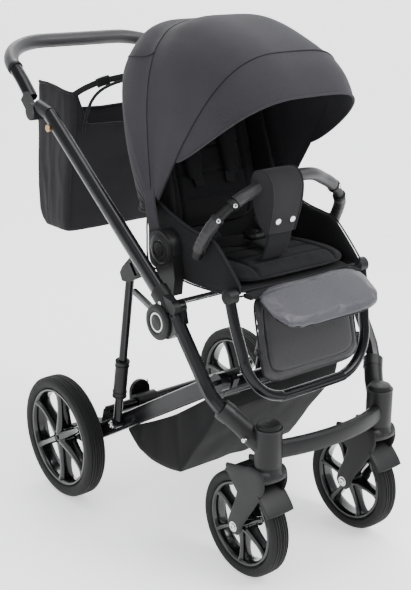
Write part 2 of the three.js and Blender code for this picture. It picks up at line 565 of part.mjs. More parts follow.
const basketSide = [[-296, 366], [-286, 322], [-150, 140], [-60, 126], [8, 142], [36, 172]];
const basketHollow = [[-340, 420], [-290, 366], [-281, 325], [-148, 146], [-60, 132], [6, 148],
  [29, 172], [60, 260]];
add('basket', cut(prism(-BASKET.halfX, BASKET.halfX, basketSide),
  prism(-BASKET.halfX + BASKET.skin, BASKET.halfX - BASKET.skin, basketHollow)), DARK_FABRIC);

export default group;
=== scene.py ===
"""Pushchair looks: fabrics, leatherette, moulded parts and paint around the CAD frame.

Lengths are written in millimetres and turned into metres where a mesh is made.
The child faces -Y, +Z is up, and "right" is the -X side.
"""

import logging
import math
from dataclasses import dataclass
from enum import Enum
from typing import Callable, Iterable, Sequence, Union

import bpy
import numpy as np
from mathutils import Matrix, Vector, noise


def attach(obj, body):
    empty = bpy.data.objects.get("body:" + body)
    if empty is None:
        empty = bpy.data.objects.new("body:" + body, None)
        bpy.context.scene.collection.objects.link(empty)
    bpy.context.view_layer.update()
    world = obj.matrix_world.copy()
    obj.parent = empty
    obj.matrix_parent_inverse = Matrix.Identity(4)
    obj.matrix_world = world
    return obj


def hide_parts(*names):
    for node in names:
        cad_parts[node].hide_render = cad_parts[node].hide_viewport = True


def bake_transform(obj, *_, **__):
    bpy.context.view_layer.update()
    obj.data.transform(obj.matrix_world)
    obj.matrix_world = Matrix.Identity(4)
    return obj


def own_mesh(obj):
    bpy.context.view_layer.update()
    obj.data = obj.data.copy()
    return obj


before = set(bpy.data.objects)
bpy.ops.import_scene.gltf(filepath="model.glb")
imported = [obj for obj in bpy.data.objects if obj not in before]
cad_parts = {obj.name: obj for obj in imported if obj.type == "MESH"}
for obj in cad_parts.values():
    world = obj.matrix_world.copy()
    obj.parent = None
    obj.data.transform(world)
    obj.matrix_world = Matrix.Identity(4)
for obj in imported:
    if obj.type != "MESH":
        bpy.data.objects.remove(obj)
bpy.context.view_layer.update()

log = logging.getLogger("pushchair")
MM = 0.001
Point = Sequence[float]
Colour = tuple[float, float, float, float]
SIDES = (("right", -1), ("left", 1))


# ---------------------------------------------------------------- shader maths
def srgb(red: float, green: float, blue: float) -> Colour:
    """Turn 0-255 screen values into a linear colour.

    Args:
        red: Red, 0 to 255.
        green: Green, 0 to 255.
        blue: Blue, 0 to 255.

    Returns:
        The linear colour with alpha 1.
    """
    def linear(value: float) -> float:
        """Linear value of one screen channel."""
        v = value / 255
        return v / 12.92 if v <= 0.04045 else ((v + 0.055) / 1.055) ** 2.4
    return (linear(red), linear(green), linear(blue), 1.0)


class Value:
    """A number socket that Python's own arithmetic works on."""

    def __init__(self, graph: "Graph", socket: bpy.types.NodeSocket) -> None:
        """Keep the graph and the output socket."""
        self.graph = graph
        self.socket = socket

    def maths(self, operation: str, first: "Number", second: "Number" = 0.0,
              third: "Number" = 0.5) -> "Value":
        """Add one Math node.

        Args:
            operation: The Math node's operation.
            first: Its first input.
            second: Its second input.
            third: Its third input, where the operation has one.

        Returns:
            The node's result.
        """
        return self.graph.node("Math", {"operation": operation}, {0: first, 1: second, 2: third})

    def __add__(self, other: "Number") -> "Value":
        """Sum."""
        return self.maths("ADD", self, other)

    def __sub__(self, other: "Number") -> "Value":
        """Difference."""
        return self.maths("SUBTRACT", self, other)

    def __rsub__(self, other: "Number") -> "Value":
        """Difference from a number."""
        return self.maths("SUBTRACT", other, self)

    def __mul__(self, other: "Number") -> "Value":
        """Product."""
        return self.maths("MULTIPLY", self, other)

    def __truediv__(self, other: "Number") -> "Value":
        """Quotient."""
        return self.maths("DIVIDE", self, other)

    def __rtruediv__(self, other: "Number") -> "Value":
        """Quotient of a number."""
        return self.maths("DIVIDE", other, self)

    def __pow__(self, other: "Number") -> "Value":
        """Power."""
        return self.maths("POWER", self, other)

    __radd__ = __add__
    __rmul__ = __mul__

    def over(self, edge: float, width: float = 0.1) -> "Value":
        """Rise smoothly from 0 to 1 around an edge."""
        return self.graph.node("MapRange", {"interpolation_type": "SMOOTHSTEP", "clamp": True},
                               {0: self, 1: edge - width / 2, 2: edge + width / 2, 3: 0.0, 4: 1.0})

    def sine(self) -> "Value":
        """Sine, moved to run from 0 to 1."""
        return self.maths("SINE", self) * 0.5 + 0.5

    def greater(self, other: "Number") -> "Value":
        """The larger of two values."""
        return self.maths("MAXIMUM", self, other)


Number = Union[Value, float]


class Graph:
    """The node tree of one material."""

    def __init__(self, name: str) -> None:
        """Start a material with an empty Principled shader.

        Args:
            name: The material's name.
        """
        self.material = bpy.data.materials.new(name)
        self.material.use_nodes = True
        self.tree = self.material.node_tree
        self.shader = self.tree.nodes["Principled BSDF"]
        self.place = self.node("TexCoord", {}, {}, output="Object")

    def node(self, kind: str, settings: dict[str, object], inputs: dict[Union[int, str], object],
             output: Union[int, str] = 0) -> Value:
        """Add any shader node.

        Args:
            kind: The node type without its ShaderNode or ShaderNodeTex prefix.
            settings: Attributes set before the inputs; "stops" fills a colour ramp.
            inputs: Input name or number to a Value, number or colour.
            output: The output wanted.

        Returns:
            That output, wrapped.
        """
        made = self.tree.nodes.new(("ShaderNodeTex" if kind in TEXTURES else "ShaderNode") + kind)
        for key, value in settings.items():
            setattr(made, key, value)
        for key, value in inputs.items():
            socket = made.inputs[key]
            if isinstance(value, Value):
                self.tree.links.new(value.socket, socket)
            else:
                socket.default_value = value
        return Value(self, made.outputs[output])

    def noise(self, size: float, detail: float = 3.0, rough: float = 0.55) -> Value:
        """Noise whose blotches are about size millimetres wide."""
        return self.node("Noise", {}, {"Vector": self.place, "Scale": 1 / (size * MM), "Detail": detail,
                                       "Roughness": rough}, output=0)

    def cells(self, size: float, feature: str = "F1") -> Value:
        """Voronoi distance with cells about size millimetres wide."""
        return self.node("Voronoi", {"feature": feature}, {"Vector": self.place, "Scale": 1 / (size * MM)})

    def axis(self, letter: str) -> Value:
        """One coordinate of the surface point, in metres."""
        return self.node("SeparateXYZ", {}, {0: self.place}, output=letter)

    def blend(self, first: object, second: object, share: Number) -> Value:
        """Mix two colours."""
        return self.node("Mix", {"data_type": "RGBA"}, {0: share, 6: first, 7: second}, output=2)

    def bump(self, height: Value, depth: float, strength: float = 1.0) -> Value:
        """Turn a 0-1 height into a normal, depth in millimetres."""
        return self.node("Bump", {}, {"Height": height, "Distance": depth * MM, "Strength": strength})

    def worn_edge(self) -> Value:
        """1 on sharp outer edges, 0 elsewhere."""
        point = self.node("NewGeometry", {}, {}, output="Pointiness")
        return point.over(0.56, 0.08)

    def feed(self, name: str, value: object) -> None:
        """Set or link one input of the Principled shader."""
        socket = self.shader.inputs[name]
        if isinstance(value, Value):
            self.tree.links.new(value.socket, socket)
        else:
            socket.default_value = value


TEXTURES = ("Coord", "Noise", "Voronoi", "Wave")


# ---------------------------------------------------------------- finishes
@dataclass(frozen=True)
class Cloth:
    """Woven cloth with heathered yarn.

    Args:
        name: Material name.
        colour: Mean colour.
        thread: Yarn pitch in millimetres.
        heather: How far light yarns stand out.
        fuzz: Sheen weight.
        slub: Strength of the longer slubs.
    """

    name: str
    colour: Colour
    thread: float = 1.1
    heather: float = 0.45
    fuzz: float = 0.08
    slub: float = 0.3

    def make(self) -> bpy.types.Material:
        """Build the material."""
        g = Graph(self.name)
        pitch = 2 * math.pi / (self.thread * MM)
        x, y, z = (g.axis(letter) for letter in "XYZ")
        drift = g.noise(9.0, 2.0) * 9.0
        warp = ((x + y * 0.35) * pitch + drift).sine()
        weft = ((z + y * 0.6) * pitch + drift).sine()
        weave = warp.greater(weft) * 0.7 + warp * weft * 0.3
        yarn = g.noise(1.6, 4.0, 0.7)
        fleck = g.noise(4.2, 3.0, 0.7)
        blotch = g.noise(55.0, 3.0)
        light = (yarn - 0.5) * self.heather + (fleck - 0.5) * 0.4 + (blotch - 0.5) * self.slub + weave * 0.22
        dark = tuple(c * 0.62 for c in self.colour[:3]) + (1.0,)
        pale = tuple(min(1.0, c * 1.5) for c in self.colour[:3]) + (1.0,)
        g.feed("Base Color", g.blend(dark, pale, (light + 0.42).over(0.5, 1.0)))
        g.feed("Roughness", 0.96 - yarn * 0.12)
        g.feed("Normal", g.bump(weave + yarn * 0.6, 0.22, 0.75))
        g.feed("Specular IOR Level", 0.25)
        g.feed("Sheen Weight", self.fuzz)
        g.feed("Sheen Roughness", 0.45)
        return g.material


@dataclass(frozen=True)
class Leatherette:
    """Coated cloth with a pebbled grain.

    Args:
        name: Material name.
        colour: Mean colour.
        grain: Pebble size in millimetres.
        rough: Roughness between the pebbles' tops.
    """

    name: str
    colour: Colour
    grain: float = 1.5
    rough: float = 0.46

    def make(self) -> bpy.types.Material:
        """Build the material."""
        g = Graph(self.name)
        pebble = g.cells(self.grain)
        crease = g.cells(self.grain * 3.2, "DISTANCE_TO_EDGE").over(0.05, 0.1)
        cloud = g.noise(70.0, 3.0)
        fine = g.noise(0.9, 3.0)
        shade = (cloud - 0.5) * 0.5 + (0.5 - pebble) * 0.25 + crease * 0.12
        dark = tuple(c * 0.7 for c in self.colour[:3]) + (1.0,)
        pale = tuple(min(1.0, c * 1.3) for c in self.colour[:3]) + (1.0,)
        g.feed("Base Color", g.blend(dark, pale, (shade + 0.42).over(0.5, 1.0)))
        g.feed("Roughness", self.rough + (1 - crease) * 0.2 + (fine - 0.5) * 0.12)
        g.feed("Normal", g.bump((1 - pebble) * 0.7 + crease * 0.4 + fine * 0.2, 0.16, 0.6))
        g.feed("Specular IOR Level", 0.45)
        g.feed("Sheen Weight", 0.06)
        return g.material


@dataclass(frozen=True)
class Moulded:
    """Spark-textured moulded plastic.

    Args:
        name: Material name.
        colour: Mean colour.
        rough: Roughness.
        grain: Texture size in millimetres.
        coat: Clear coat weight.
    """

    name: str
    colour: Colour
    rough: float = 0.5
    grain: float = 0.8
    coat: float = 0.0

    def make(self) -> bpy.types.Material:
        """Build the material."""
        g = Graph(self.name)
        spark = g.noise(self.grain, 4.0, 0.7)
        haze = g.noise(38.0, 3.0)
        edge = g.worn_edge()
        pale = tuple(min(1.0, c * 2.2 + 0.006) for c in self.colour[:3]) + (1.0,)
        base = g.blend(self.colour, pale, (spark - 0.5) * 0.28 + haze * 0.16)
        g.feed("Base Color", g.blend(base, pale, edge * 0.45))
        g.feed("Roughness", self.rough + (haze - 0.5) * 0.16 + (spark - 0.5) * 0.14 - edge * 0.08)
        g.feed("Normal", g.bump(spark, 0.05 + 0.05 * self.rough, 0.5))
        g.feed("Specular IOR Level", 0.28 + self.coat * 0.2)
        g.feed("Coat Weight", self.coat)
        g.feed("Coat Roughness", 0.06)
        return g.material


@dataclass(frozen=True)
class Painted:
    """Powder-coated or bare metal.

    Args:
        name: Material name.
        colour: Mean colour.
        rough: Roughness.
        metal: Metallic share.
    """

    name: str
    colour: Colour
    rough: float = 0.34
    metal: float = 0.55

    def make(self) -> bpy.types.Material:
        """Build the material."""
        g = Graph(self.name)
        flake = g.cells(0.7)
        smear = g.noise(60.0, 4.0)
        peel = g.noise(2.2, 2.0)
        edge = g.worn_edge()
        pale = tuple(min(1.0, c * 2.2 + 0.02) for c in self.colour[:3]) + (1.0,)
        base = g.blend(self.colour, pale, (1 - flake).over(0.75, 0.3) * 0.2 + (smear - 0.5) * 0.2)
        g.feed("Base Color", g.blend(base, pale, edge * 0.6))
        g.feed("Roughness", self.rough + (smear - 0.5) * 0.18 + (peel - 0.5) * 0.08)
        g.feed("Metallic", self.metal)
        g.feed("Normal", g.bump(peel, 0.06, 0.35))
        return g.material


@dataclass(frozen=True)
class Rubber:
    """Foamed tyre rubber with dust in its grooves.

    Args:
        name: Material name.
        colour: Mean colour.
    """

    name: str
    colour: Colour

    def make(self) -> bpy.types.Material:
        """Build the material."""
        g = Graph(self.name)
        pores = g.noise(1.2, 4.0, 0.7)
        scuff = g.noise(26.0, 4.0, 0.65)
        dusty = tuple(min(1.0, c * 1.8 + 0.004) for c in self.colour[:3]) + (1.0,)
        g.feed("Base Color", g.blend(self.colour, dusty, scuff.over(0.55, 0.4) * 0.5 + (pores - 0.5) * 0.3))
        g.feed("Roughness", 0.74 + (scuff - 0.5) * 0.25)
        g.feed("Normal", g.bump(pores + scuff * 0.5, 0.2, 0.6))
        g.feed("Specular IOR Level", 0.35)
        return g.material


class Finish(Enum):
    """Every finish on the pushchair."""

    CANOPY = Cloth("heathered_canopy_cloth", srgb(41, 40, 44))
    SEAT = Cloth("seat_cloth", srgb(17, 17, 19), heather=0.35, fuzz=0.04)
    LINING = Cloth("black_lining", srgb(8, 8, 9), heather=0.2, fuzz=0.02)
    BAG = Cloth("bag_cloth", srgb(30, 29, 32), thread=1.4, fuzz=0.06)
    BASKET = Cloth("basket_cloth", srgb(9, 9, 10), thread=1.8, heather=0.3, fuzz=0.05)
    WEBBING = Cloth("black_webbing", srgb(22, 22, 24), thread=2.2, heather=0.3, fuzz=0.08)
    PIPING = Cloth("dark_piping", srgb(24, 24, 27), thread=0.8, fuzz=0.08)
    PAD = Leatherette("grey_leatherette", srgb(60, 59, 65), grain=1.6, rough=0.42)
    CALF = Leatherette("charcoal_leatherette", srgb(24, 23, 25), grain=1.6, rough=0.44)
    BOOT = Leatherette("black_crinkled_leatherette", srgb(19, 18, 20), grain=2.6, rough=0.38)
    GRIP = Leatherette("grip_leatherette", srgb(40, 39, 42), grain=1.3, rough=0.4)
    FRAME = Painted("anthracite_paint", srgb(18, 18, 20), rough=0.24, metal=0.6)
    STEEL = Painted("bright_steel", srgb(200, 200, 202), rough=0.22, metal=1.0)
    BRONZE = Painted("bronze_button", srgb(188, 152, 112), rough=0.3, metal=1.0)
    PLASTIC = Moulded("grained_black_plastic", srgb(11, 11, 12), rough=0.5)
    SOCKET = Moulded("satin_black_plastic", srgb(10, 10, 11), rough=0.48)
    GLOSS = Moulded("gloss_black_plastic", srgb(8, 8, 9), rough=0.2, grain=3.0, coat=0.35)
    SHELL = Moulded("smoke_grey_plastic", srgb(16, 16, 17), rough=0.46)
    WHITE = Moulded("white_ring_inlay", srgb(225, 225, 225), rough=0.4)
    TYRE = Rubber("tyre_rubber", srgb(7, 7, 7))

    def material(self) -> bpy.types.Material:
        """The shared material, built on first use."""
        return bpy.data.materials.get(self.value.name) or self.value.make()


# ---------------------------------------------------------------- mesh tools
def smooth_line(points: Sequence[Point], per: int = 6, closed: bool = False) -> np.ndarray:
    """Run a Catmull-Rom line through points.

    Args:
        points: The points to pass through.
        per: New points for each stretch.
        closed: Whether the line closes on itself.

    Returns:
        The dense line.
    """
    p = np.array(points, float)
    count = len(p)
    line = []
    for i in range(count if closed else count - 1):
        if closed:
            a, b, c, d = (p[(i + k) % count] for k in (-1, 0, 1, 2))
        else:
            a, b, c, d = (p[min(max(i + k, 0), count - 1)] for k in (-1, 0, 1, 2))
        for t in np.arange(per) / per:
            line.append(0.5 * (2 * b + (c - a) * t + (2 * a - 5 * b + 4 * c - d) * t * t
                               + (3 * b - a - 3 * c + d) * t ** 3))
    if not closed:
        line.append(p[-1])
    return np.array(line)


def make_mesh(name: str, points: Iterable[Point], faces: Iterable[Sequence[int]],
              sharp: float = 38.0) -> bpy.types.Object:
    """Make a smooth-shaded object from points in millimetres.

    Args:
        name: Object name.
        points: Vertices in millimetres.
        faces: Vertex numbers of each face.
        sharp: Angle in degrees above which an edge stays sharp.

    Returns:
        The linked object.
    """
    mesh = bpy.data.meshes.new(name)
    mesh.from_pydata([tuple(float(c) * MM for c in p) for p in points], [], [tuple(f) for f in faces])
    mesh.validate()
    mesh.shade_smooth()
    mesh.set_sharp_from_angle(angle=math.radians(sharp))
    made = bpy.data.objects.new(name, mesh)
    bpy.context.scene.collection.objects.link(made)
    return made


def ring_faces(rings: int, sides: int, closed: bool = False, first: int = 0) -> list[tuple[int, ...]]:
    """Quads between successive rings, with end caps unless the rings close.

    Args:
        rings: How many rings.
        sides: Points in each ring.
        closed: Whether the last ring joins the first.
        first: Number of the first vertex.

    Returns:
        The faces.
    """
    faces = []
    for i in range(rings if closed else rings - 1):
        for j in range(sides):
            a, b = first + i * sides, first + ((i + 1) % rings) * sides
            k = (j + 1) % sides
            faces.append((a + j, a + k, b + k, b + j))
    if not closed:
        faces.append(tuple(first + j for j in reversed(range(sides))))
        faces.append(tuple(first + (rings - 1) * sides + j for j in range(sides)))
    return faces


def sweep(name: str, path: Sequence[Point], wide: float, high: float = 0.0, sides: int = 20,
          power: float = 2.0, side: Point = (1, 0, 0), closed: bool = False,
          scale: Callable[[float], float] = lambda t: 1.0, rounded: float = 1.5,
          twist: bool = False) -> bpy.types.Object:
    """Sweep a superellipse along a path.

    Args:
        name: Object name.
        path: Dense points in millimetres.
        wide: Half width, along side.
        high: Half height; the half width where it is 0.
        sides: Points round the section.
        power: 2 for an ellipse, more for a squarer section.
        side: Direction of the width at the start.
        closed: Whether the path closes on itself.
        scale: Size of the section at a share of the path.
        rounded: How far the ends are rounded off.
        twist: Keep the width along side all the way, in place of turning it with the path.

    Returns:
        The object.
    """
    p = np.array(path, float)
    high = high or wide
    count = len(p)
    ahead = np.roll(p, -1, 0) - np.roll(p, 1, 0)
    if not closed:
        ahead[0], ahead[-1] = p[1] - p[0], p[-1] - p[-2]
    ahead /= np.linalg.norm(ahead, axis=1)[:, None]
    w = np.array(side, float)
    corners = np.arange(sides) * 2 * np.pi / sides
    c, s = np.cos(corners), np.sin(corners)
    across = np.sign(c) * np.abs(c) ** (2 / power) * wide
    up = np.sign(s) * np.abs(s) ** (2 / power) * high
    points = []
    ends = [] if closed else [(0, -rounded, 0.55), (0, -rounded * 0.35, 0.86)]
    rows = ends + [(i, 0.0, 1.0) for i in range(count)]
    rows += [] if closed else [(count - 1, rounded * 0.35, 0.86), (count - 1, rounded, 0.55)]
    for i, shift, shrink in rows:
        base = np.array(side, float) if twist else w
        w = base - ahead[i] * np.dot(base, ahead[i])
        w /= np.linalg.norm(w)
        h = np.cross(ahead[i], w)
        k = scale(i / (count - 1)) * shrink
        points.extend(p[i] + ahead[i] * shift + np.outer(across * k, w) + np.outer(up * k, h))
    return make_mesh(name, points, ring_faces(len(rows), sides, closed))


def turned(name: str, profile: Sequence[tuple[float, float]], centre: Point, sides: int = 48,
           axis: Point = (1, 0, 0), closed: bool = False,
           ripple: Callable[[float, float, float], float] = lambda r, x, a: r) -> bpy.types.Object:
    """Turn a (radius, offset) profile about an axis.

    Args:
        name: Object name.
        profile: Radius and offset along the axis, in millimetres.
        centre: A point on the axis.
        sides: Steps round the axis.
        axis: The axis.
        closed: Whether the profile closes on itself, as a ring's does.
        ripple: Changes a radius by its offset and angle.

    Returns:
        The object.
    """
    a = np.array(axis, float)
    u = np.cross(a, (0, 0, 1) if abs(a[2]) < 0.9 else (0, 1, 0))
    u /= np.linalg.norm(u)
    v = np.cross(a, u)
    points, faces = [], []
    count = len(profile)
    for i in range(sides):
        angle = 2 * math.pi * i / sides
        way = u * math.cos(angle) + v * math.sin(angle)
        points.extend(np.array(centre) + a * x + way * ripple(r, x, angle) for r, x in profile)
    for i in range(sides):
        j = (i + 1) % sides
        for k in range(count if closed else count - 1):
            n = (k + 1) % count
            faces.append((i * count + k, i * count + n, j * count + n, j * count + k))
    if not closed:
        faces.append(tuple(i * count for i in range(sides)))
        faces.append(tuple(i * count + count - 1 for i in reversed(range(sides))))
    return make_mesh(name, points, faces)


def sheet_mesh(name: str, outer: np.ndarray, inner: np.ndarray,
               lining: bool = False) -> bpy.types.Object:
    """Close an outer and an inner grid of points into one thin shell.

    Args:
        name: Object name.
        outer: Rows by columns by 3 points.
        inner: The same grid moved inwards.
        lining: Whether the inner faces take the second material.

    Returns:
        The object.
    """
    rows, columns = outer.shape[:2]
    points = list(outer.reshape(-1, 3)) + list(inner.reshape(-1, 3))

    def at(layer: int, i: int, j: int) -> int:
        """Vertex number in a layer."""
        return layer * rows * columns + i * columns + j
    faces, inside = [], []
    for i in range(rows - 1):
        for j in range(columns - 1):
            faces.append((at(0, i, j), at(0, i + 1, j), at(0, i + 1, j + 1), at(0, i, j + 1)))
            inside.append((at(1, i, j), at(1, i, j + 1), at(1, i + 1, j + 1), at(1, i + 1, j)))
    for j in range(columns - 1):
        faces.append((at(0, 0, j), at(0, 0, j + 1), at(1, 0, j + 1), at(1, 0, j)))
        faces.append((at(0, rows - 1, j), at(1, rows - 1, j), at(1, rows - 1, j + 1),
                      at(0, rows - 1, j + 1)))
    for i in range(rows - 1):
        faces.append((at(0, i, 0), at(1, i, 0), at(1, i + 1, 0), at(0, i + 1, 0)))
        faces.append((at(0, i, columns - 1), at(0, i + 1, columns - 1), at(1, i + 1, columns - 1),
                      at(1, i, columns - 1)))
    made = make_mesh(name, points, faces + inside, sharp=60)
    if lining:
        for polygon in made.data.polygons[len(faces):]:
            polygon.material_index = 1
    return made


@dataclass(frozen=True)
class Plane:
    """A flat place for a pad: x runs across it.

    Args:
        origin: Its middle.
        along: Direction of the pad's length.
        up: Direction that the pad's top faces.
    """

    origin: Point
    along: Point
    up: Point

    def place(self, a: float, b: float, h: float = 0.0) -> np.ndarray:
        """The point at a width, length and height."""
        return np.array(self.origin) + np.array((a, 0, 0)) + np.array(self.along) * b + np.array(self.up) * h

    @classmethod
    def between(cls, low: tuple[float, float], high: tuple[float, float], turn: int = 1) -> "Plane":
        """The plane halfway between two (y, z) points.

        Args:
            low: Where the length starts.
            high: Where it ends.
            turn: 1 to face up or towards the child's front, -1 the other way.
        """
        way = np.array((0, high[0] - low[0], high[1] - low[1]), float)
        way /= np.linalg.norm(way)
        return cls((0, (low[0] + high[0]) / 2, (low[1] + high[1]) / 2), tuple(way),
                   (0, -way[2] * turn, way[1] * turn))


SWELL_PRESSURE = 4.0
SWELL_STEPS = 20
SWELL_VOXEL = 4.5


def swell(made: bpy.types.Object, voxel: float, cap: float) -> None:
    """Inflate a closed form with Cloth pressure and keep the result.

    Args:
        made: The object.
        voxel: Remesh size in millimetres.
        cap: Furthest that a point may move, in millimetres.
    """
    def baked() -> bpy.types.Mesh:
        """The mesh with its modifiers applied."""
        graph = bpy.context.evaluated_depsgraph_get()
        return bpy.data.meshes.new_from_object(made.evaluated_get(graph))
    even = made.modifiers.new("even", "REMESH")
    even.mode = "VOXEL"
    even.voxel_size = voxel * MM
    mesh = baked()
    made.modifiers.clear()
    made.data = mesh
    start = np.array([v.co for v in mesh.vertices])
    cloth = made.modifiers.new("swell", "CLOTH")
    cloth.settings.use_pressure = True
    cloth.settings.uniform_pressure_force = SWELL_PRESSURE
    cloth.settings.effector_weights.gravity = 0
    for step in range(1, SWELL_STEPS + 1):
        bpy.context.scene.frame_set(step)
    swollen = baked()
    made.modifiers.clear()
    end = np.array([v.co for v in swollen.vertices])
    move = end - start
    far = np.linalg.norm(move, axis=1)
    move *= np.minimum(1, cap * MM / np.maximum(far, 1e-9))[:, None]
    for vertex, place in zip(mesh.vertices, start + move):
        vertex.co = place
    bpy.context.scene.frame_set(1)
    finer = made.modifiers.new("finer", "SUBSURF")
    finer.levels = 1
    made.data = baked()
    made.modifiers.clear()
    made.data.shade_smooth()
    log.info("%s swelled by up to %.1f mm", made.name, float(far.max()) / MM)


def pad(name: str, wide: float, long: float, thick: float, plane: Plane, corner: float = 4.0,
        seams: Callable[[float, float], float] = lambda a, b: 0.0, back: float = 0.35, cells: int = 44,
        edge: float = 5.0, puff: float = 0.0, shape: Callable[[float],
                                                              float] = lambda b: 1.0) -> bpy.types.Object:
    """Make a crowned pad with sewn channels.

    Args:
        name: Object name.
        wide: Half width in millimetres.
        long: Half length in millimetres.
        thick: Height of the crown.
        plane: Where it lies.
        corner: Power of the outline; more is squarer.
        seams: Depth of a sewn channel at a point, in millimetres.
        back: Thickness of the under side as a share of the crown.
        cells: Steps along each side.
        edge: How late the crown falls off at the rim; more is later.
        puff: How far Cloth may swell it, 0 for not at all.
        shape: Share of the width kept at a length.

    Returns:
        The object.
    """
    span = np.linspace(-1, 1, cells + 1)
    span = np.sign(span) * (1 - (1 - np.abs(span)) ** 1.35)
    shrink = puff * 0.5
    points: list[Point] = []
    number: dict[tuple[int, int, int], int] = {}
    for layer, way in ((0, 1.0), (1, -back)):
        for i, s in enumerate(span):
            for j, t in enumerate(span):
                reach = max(abs(s), abs(t))
                if layer and reach > 1 - 1e-9:
                    number[layer, i, j] = number[0, i, j]
                    continue
                ds, dt = (abs(s) / reach, abs(t) / reach) if reach > 1e-9 else (1.0, 0.0)
                k = 1 / (ds ** corner + dt ** corner) ** (1 / corner)
                a, b = s * k * (wide - shrink), t * k * (long - shrink)
                height = (thick - shrink) * math.sqrt(max(0.0, 1 - reach ** edge))
                number[layer, i, j] = len(points)
                points.append(plane.place(a * shape(b / long), b, way * height))
    faces = []
    for i in range(cells):
        for j in range(cells):
            top = [number[0, i, j], number[0, i + 1, j], number[0, i + 1, j + 1], number[0, i, j + 1]]
            low = [number[1, i, j], number[1, i, j + 1], number[1, i + 1, j + 1], number[1, i + 1, j]]
            faces.extend((top, low))
    made = make_mesh(name, points, faces, sharp=75)
    up, along, origin = Vector(plane.up), Vector(plane.along), Vector(plane.origin) * MM
    if puff:
        swell(made, SWELL_VOXEL, puff)
        spread = [(v.co.x / MM, (v.co - origin).dot(along) / MM) for v in made.data.vertices]
        reach_x, reach_b = (max(abs(p[k]) for p in spread) for k in (0, 1))
        for vertex, (a, b) in zip(made.data.vertices, spread):
            vertex.co += Vector((a * (wide / reach_x - 1), 0,
                                 0)) * MM + along * (b * (long / reach_b - 1)) * MM
    normals = [v.normal.dot(up) for v in made.data.vertices]
    for vertex, facing in zip(made.data.vertices, normals):
        if facing > 0.25:
            local = (vertex.co - origin) / MM
            vertex.co -= up * seams(local.x, local.dot(along)) * MM
    return made


def slab(name: str, outline: Sequence[tuple[float, float]], x: float, thick: float,
         crown: float = 0.0, per: int = 5, sharp_corners: bool = False) -> bpy.types.Object:
    """Make a rounded plate that lies in a plane of constant x.

    Args:
        name: Object name.
        outline: (y, z) points of its outline.
        x: The middle of its thickness.
        thick: Its half thickness.
        crown: How far its faces swell beyond that.
        per: Points on each stretch of the outline.
        sharp_corners: Keep the outline's corners.

    Returns:
        The object.
    """
    flat = np.array(outline, float) if sharp_corners else smooth_line(outline, per, closed=True)
    middle = flat.mean(0)
    rows = ((0.0, 1.0), (0.35, 0.985), (0.8, 0.93), (1.0, 0.8), (1.0, 0.5), (1.0, 0.2))
    points = []
    for sign in (-1, 1):
        order = rows if sign > 0 else rows[:0:-1]
        for depth, size in order:
            swell = thick * depth + crown * (1 - size ** 2)
            for y, z in middle + (flat - middle) * size:
                points.append((x + sign * swell, y, z))
    rings = 2 * len(rows) - 1
    return make_mesh(name, points, ring_faces(rings, len(flat)), sharp=45)


def join_pieces(name: str, pieces: Sequence[bpy.types.Object]) -> bpy.types.Object:
    """Join objects into one named piece."""
    with bpy.context.temp_override(active_object=pieces[0], object=pieces[0],
                                   selected_objects=pieces, selected_editable_objects=pieces):
        bpy.ops.object.join()
    pieces[0].name = name
    return pieces[0]


@dataclass
class Piece:
    """How one made piece is attached and dressed.

    Args:
        made: The object.
        body: The CAD body that it rides on.
        finish: Its finish.
        slot: The name of a material slot; not used.
        replaces: CAD nodes it stands for.
        lining: The finish of its inner faces.
        blend: A second body, and where a change to it would start and end; a piece with one only has its
            transform baked in and is not hung on a body.
        squash: A joint, with axis, anchor and keep; a piece with one only gets its own copy of its mesh.
    """

    made: bpy.types.Object
    body: str
    finish: Finish
    slot: str
    replaces: Sequence[str] = ()
    lining: Union[Finish, None] = None
    blend: Union[tuple[str, Point, Point], None] = None
    squash: Union[dict[str, object], None] = None

    def __post_init__(self) -> None:
        """Dress the piece, hang it on its body unless it has a blend, and log it."""
        self.made.data.materials.clear()
        self.made.data.materials.append(self.finish.material())
        if self.lining:
            self.made.data.materials.append(self.lining.material())
        if self.blend:
            other, start, end = self.blend
            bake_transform(self.made, self.body, other, start=[c * MM for c in start], end=[c * MM for c in end])
        else:
            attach(self.made, self.body)
        if self.squash:
            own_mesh(self.made)
        if self.replaces:
            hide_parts(*self.replaces)
        log.info("%s rides on %s", self.made.name, self.body)


# ---------------------------------------------------------------- CAD nodes
def dress(node: str, finish: Finish, edge: float = 1.0) -> None:
    """Give a CAD node its finish and softly rounded edges.

    Args:
        node: The CAD node's name.
        finish: Its finish.
        edge: Edge radius in millimetres.
    """
    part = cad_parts[node]
    part.data.materials.clear()
    part.data.materials.append(finish.material())
    custom = part.data.attributes.get("custom_normal")
    if custom:
        part.data.attributes.remove(custom)
    part.data.shade_smooth()
    weld = part.modifiers.new("weld", "WELD")
    weld.merge_threshold = 1e-5
    bevel = part.modifiers.new("rounded edges", "BEVEL")
    bevel.width = edge * MM
    bevel.segments = 3
    bevel.limit_method = "ANGLE"
    bevel.angle_limit = math.radians(34)
    smooth = part.modifiers.new("even shading", "WEIGHTED_NORMAL")
    smooth.keep_sharp = False
    smooth.weight = 60
    log.info("%s keeps its CAD shape", node)


@dataclass
class SubAssembly:
    """A group of pieces that are built together."""

    def build(self) -> None:
        """Make every piece of the group."""
        raise NotImplementedError


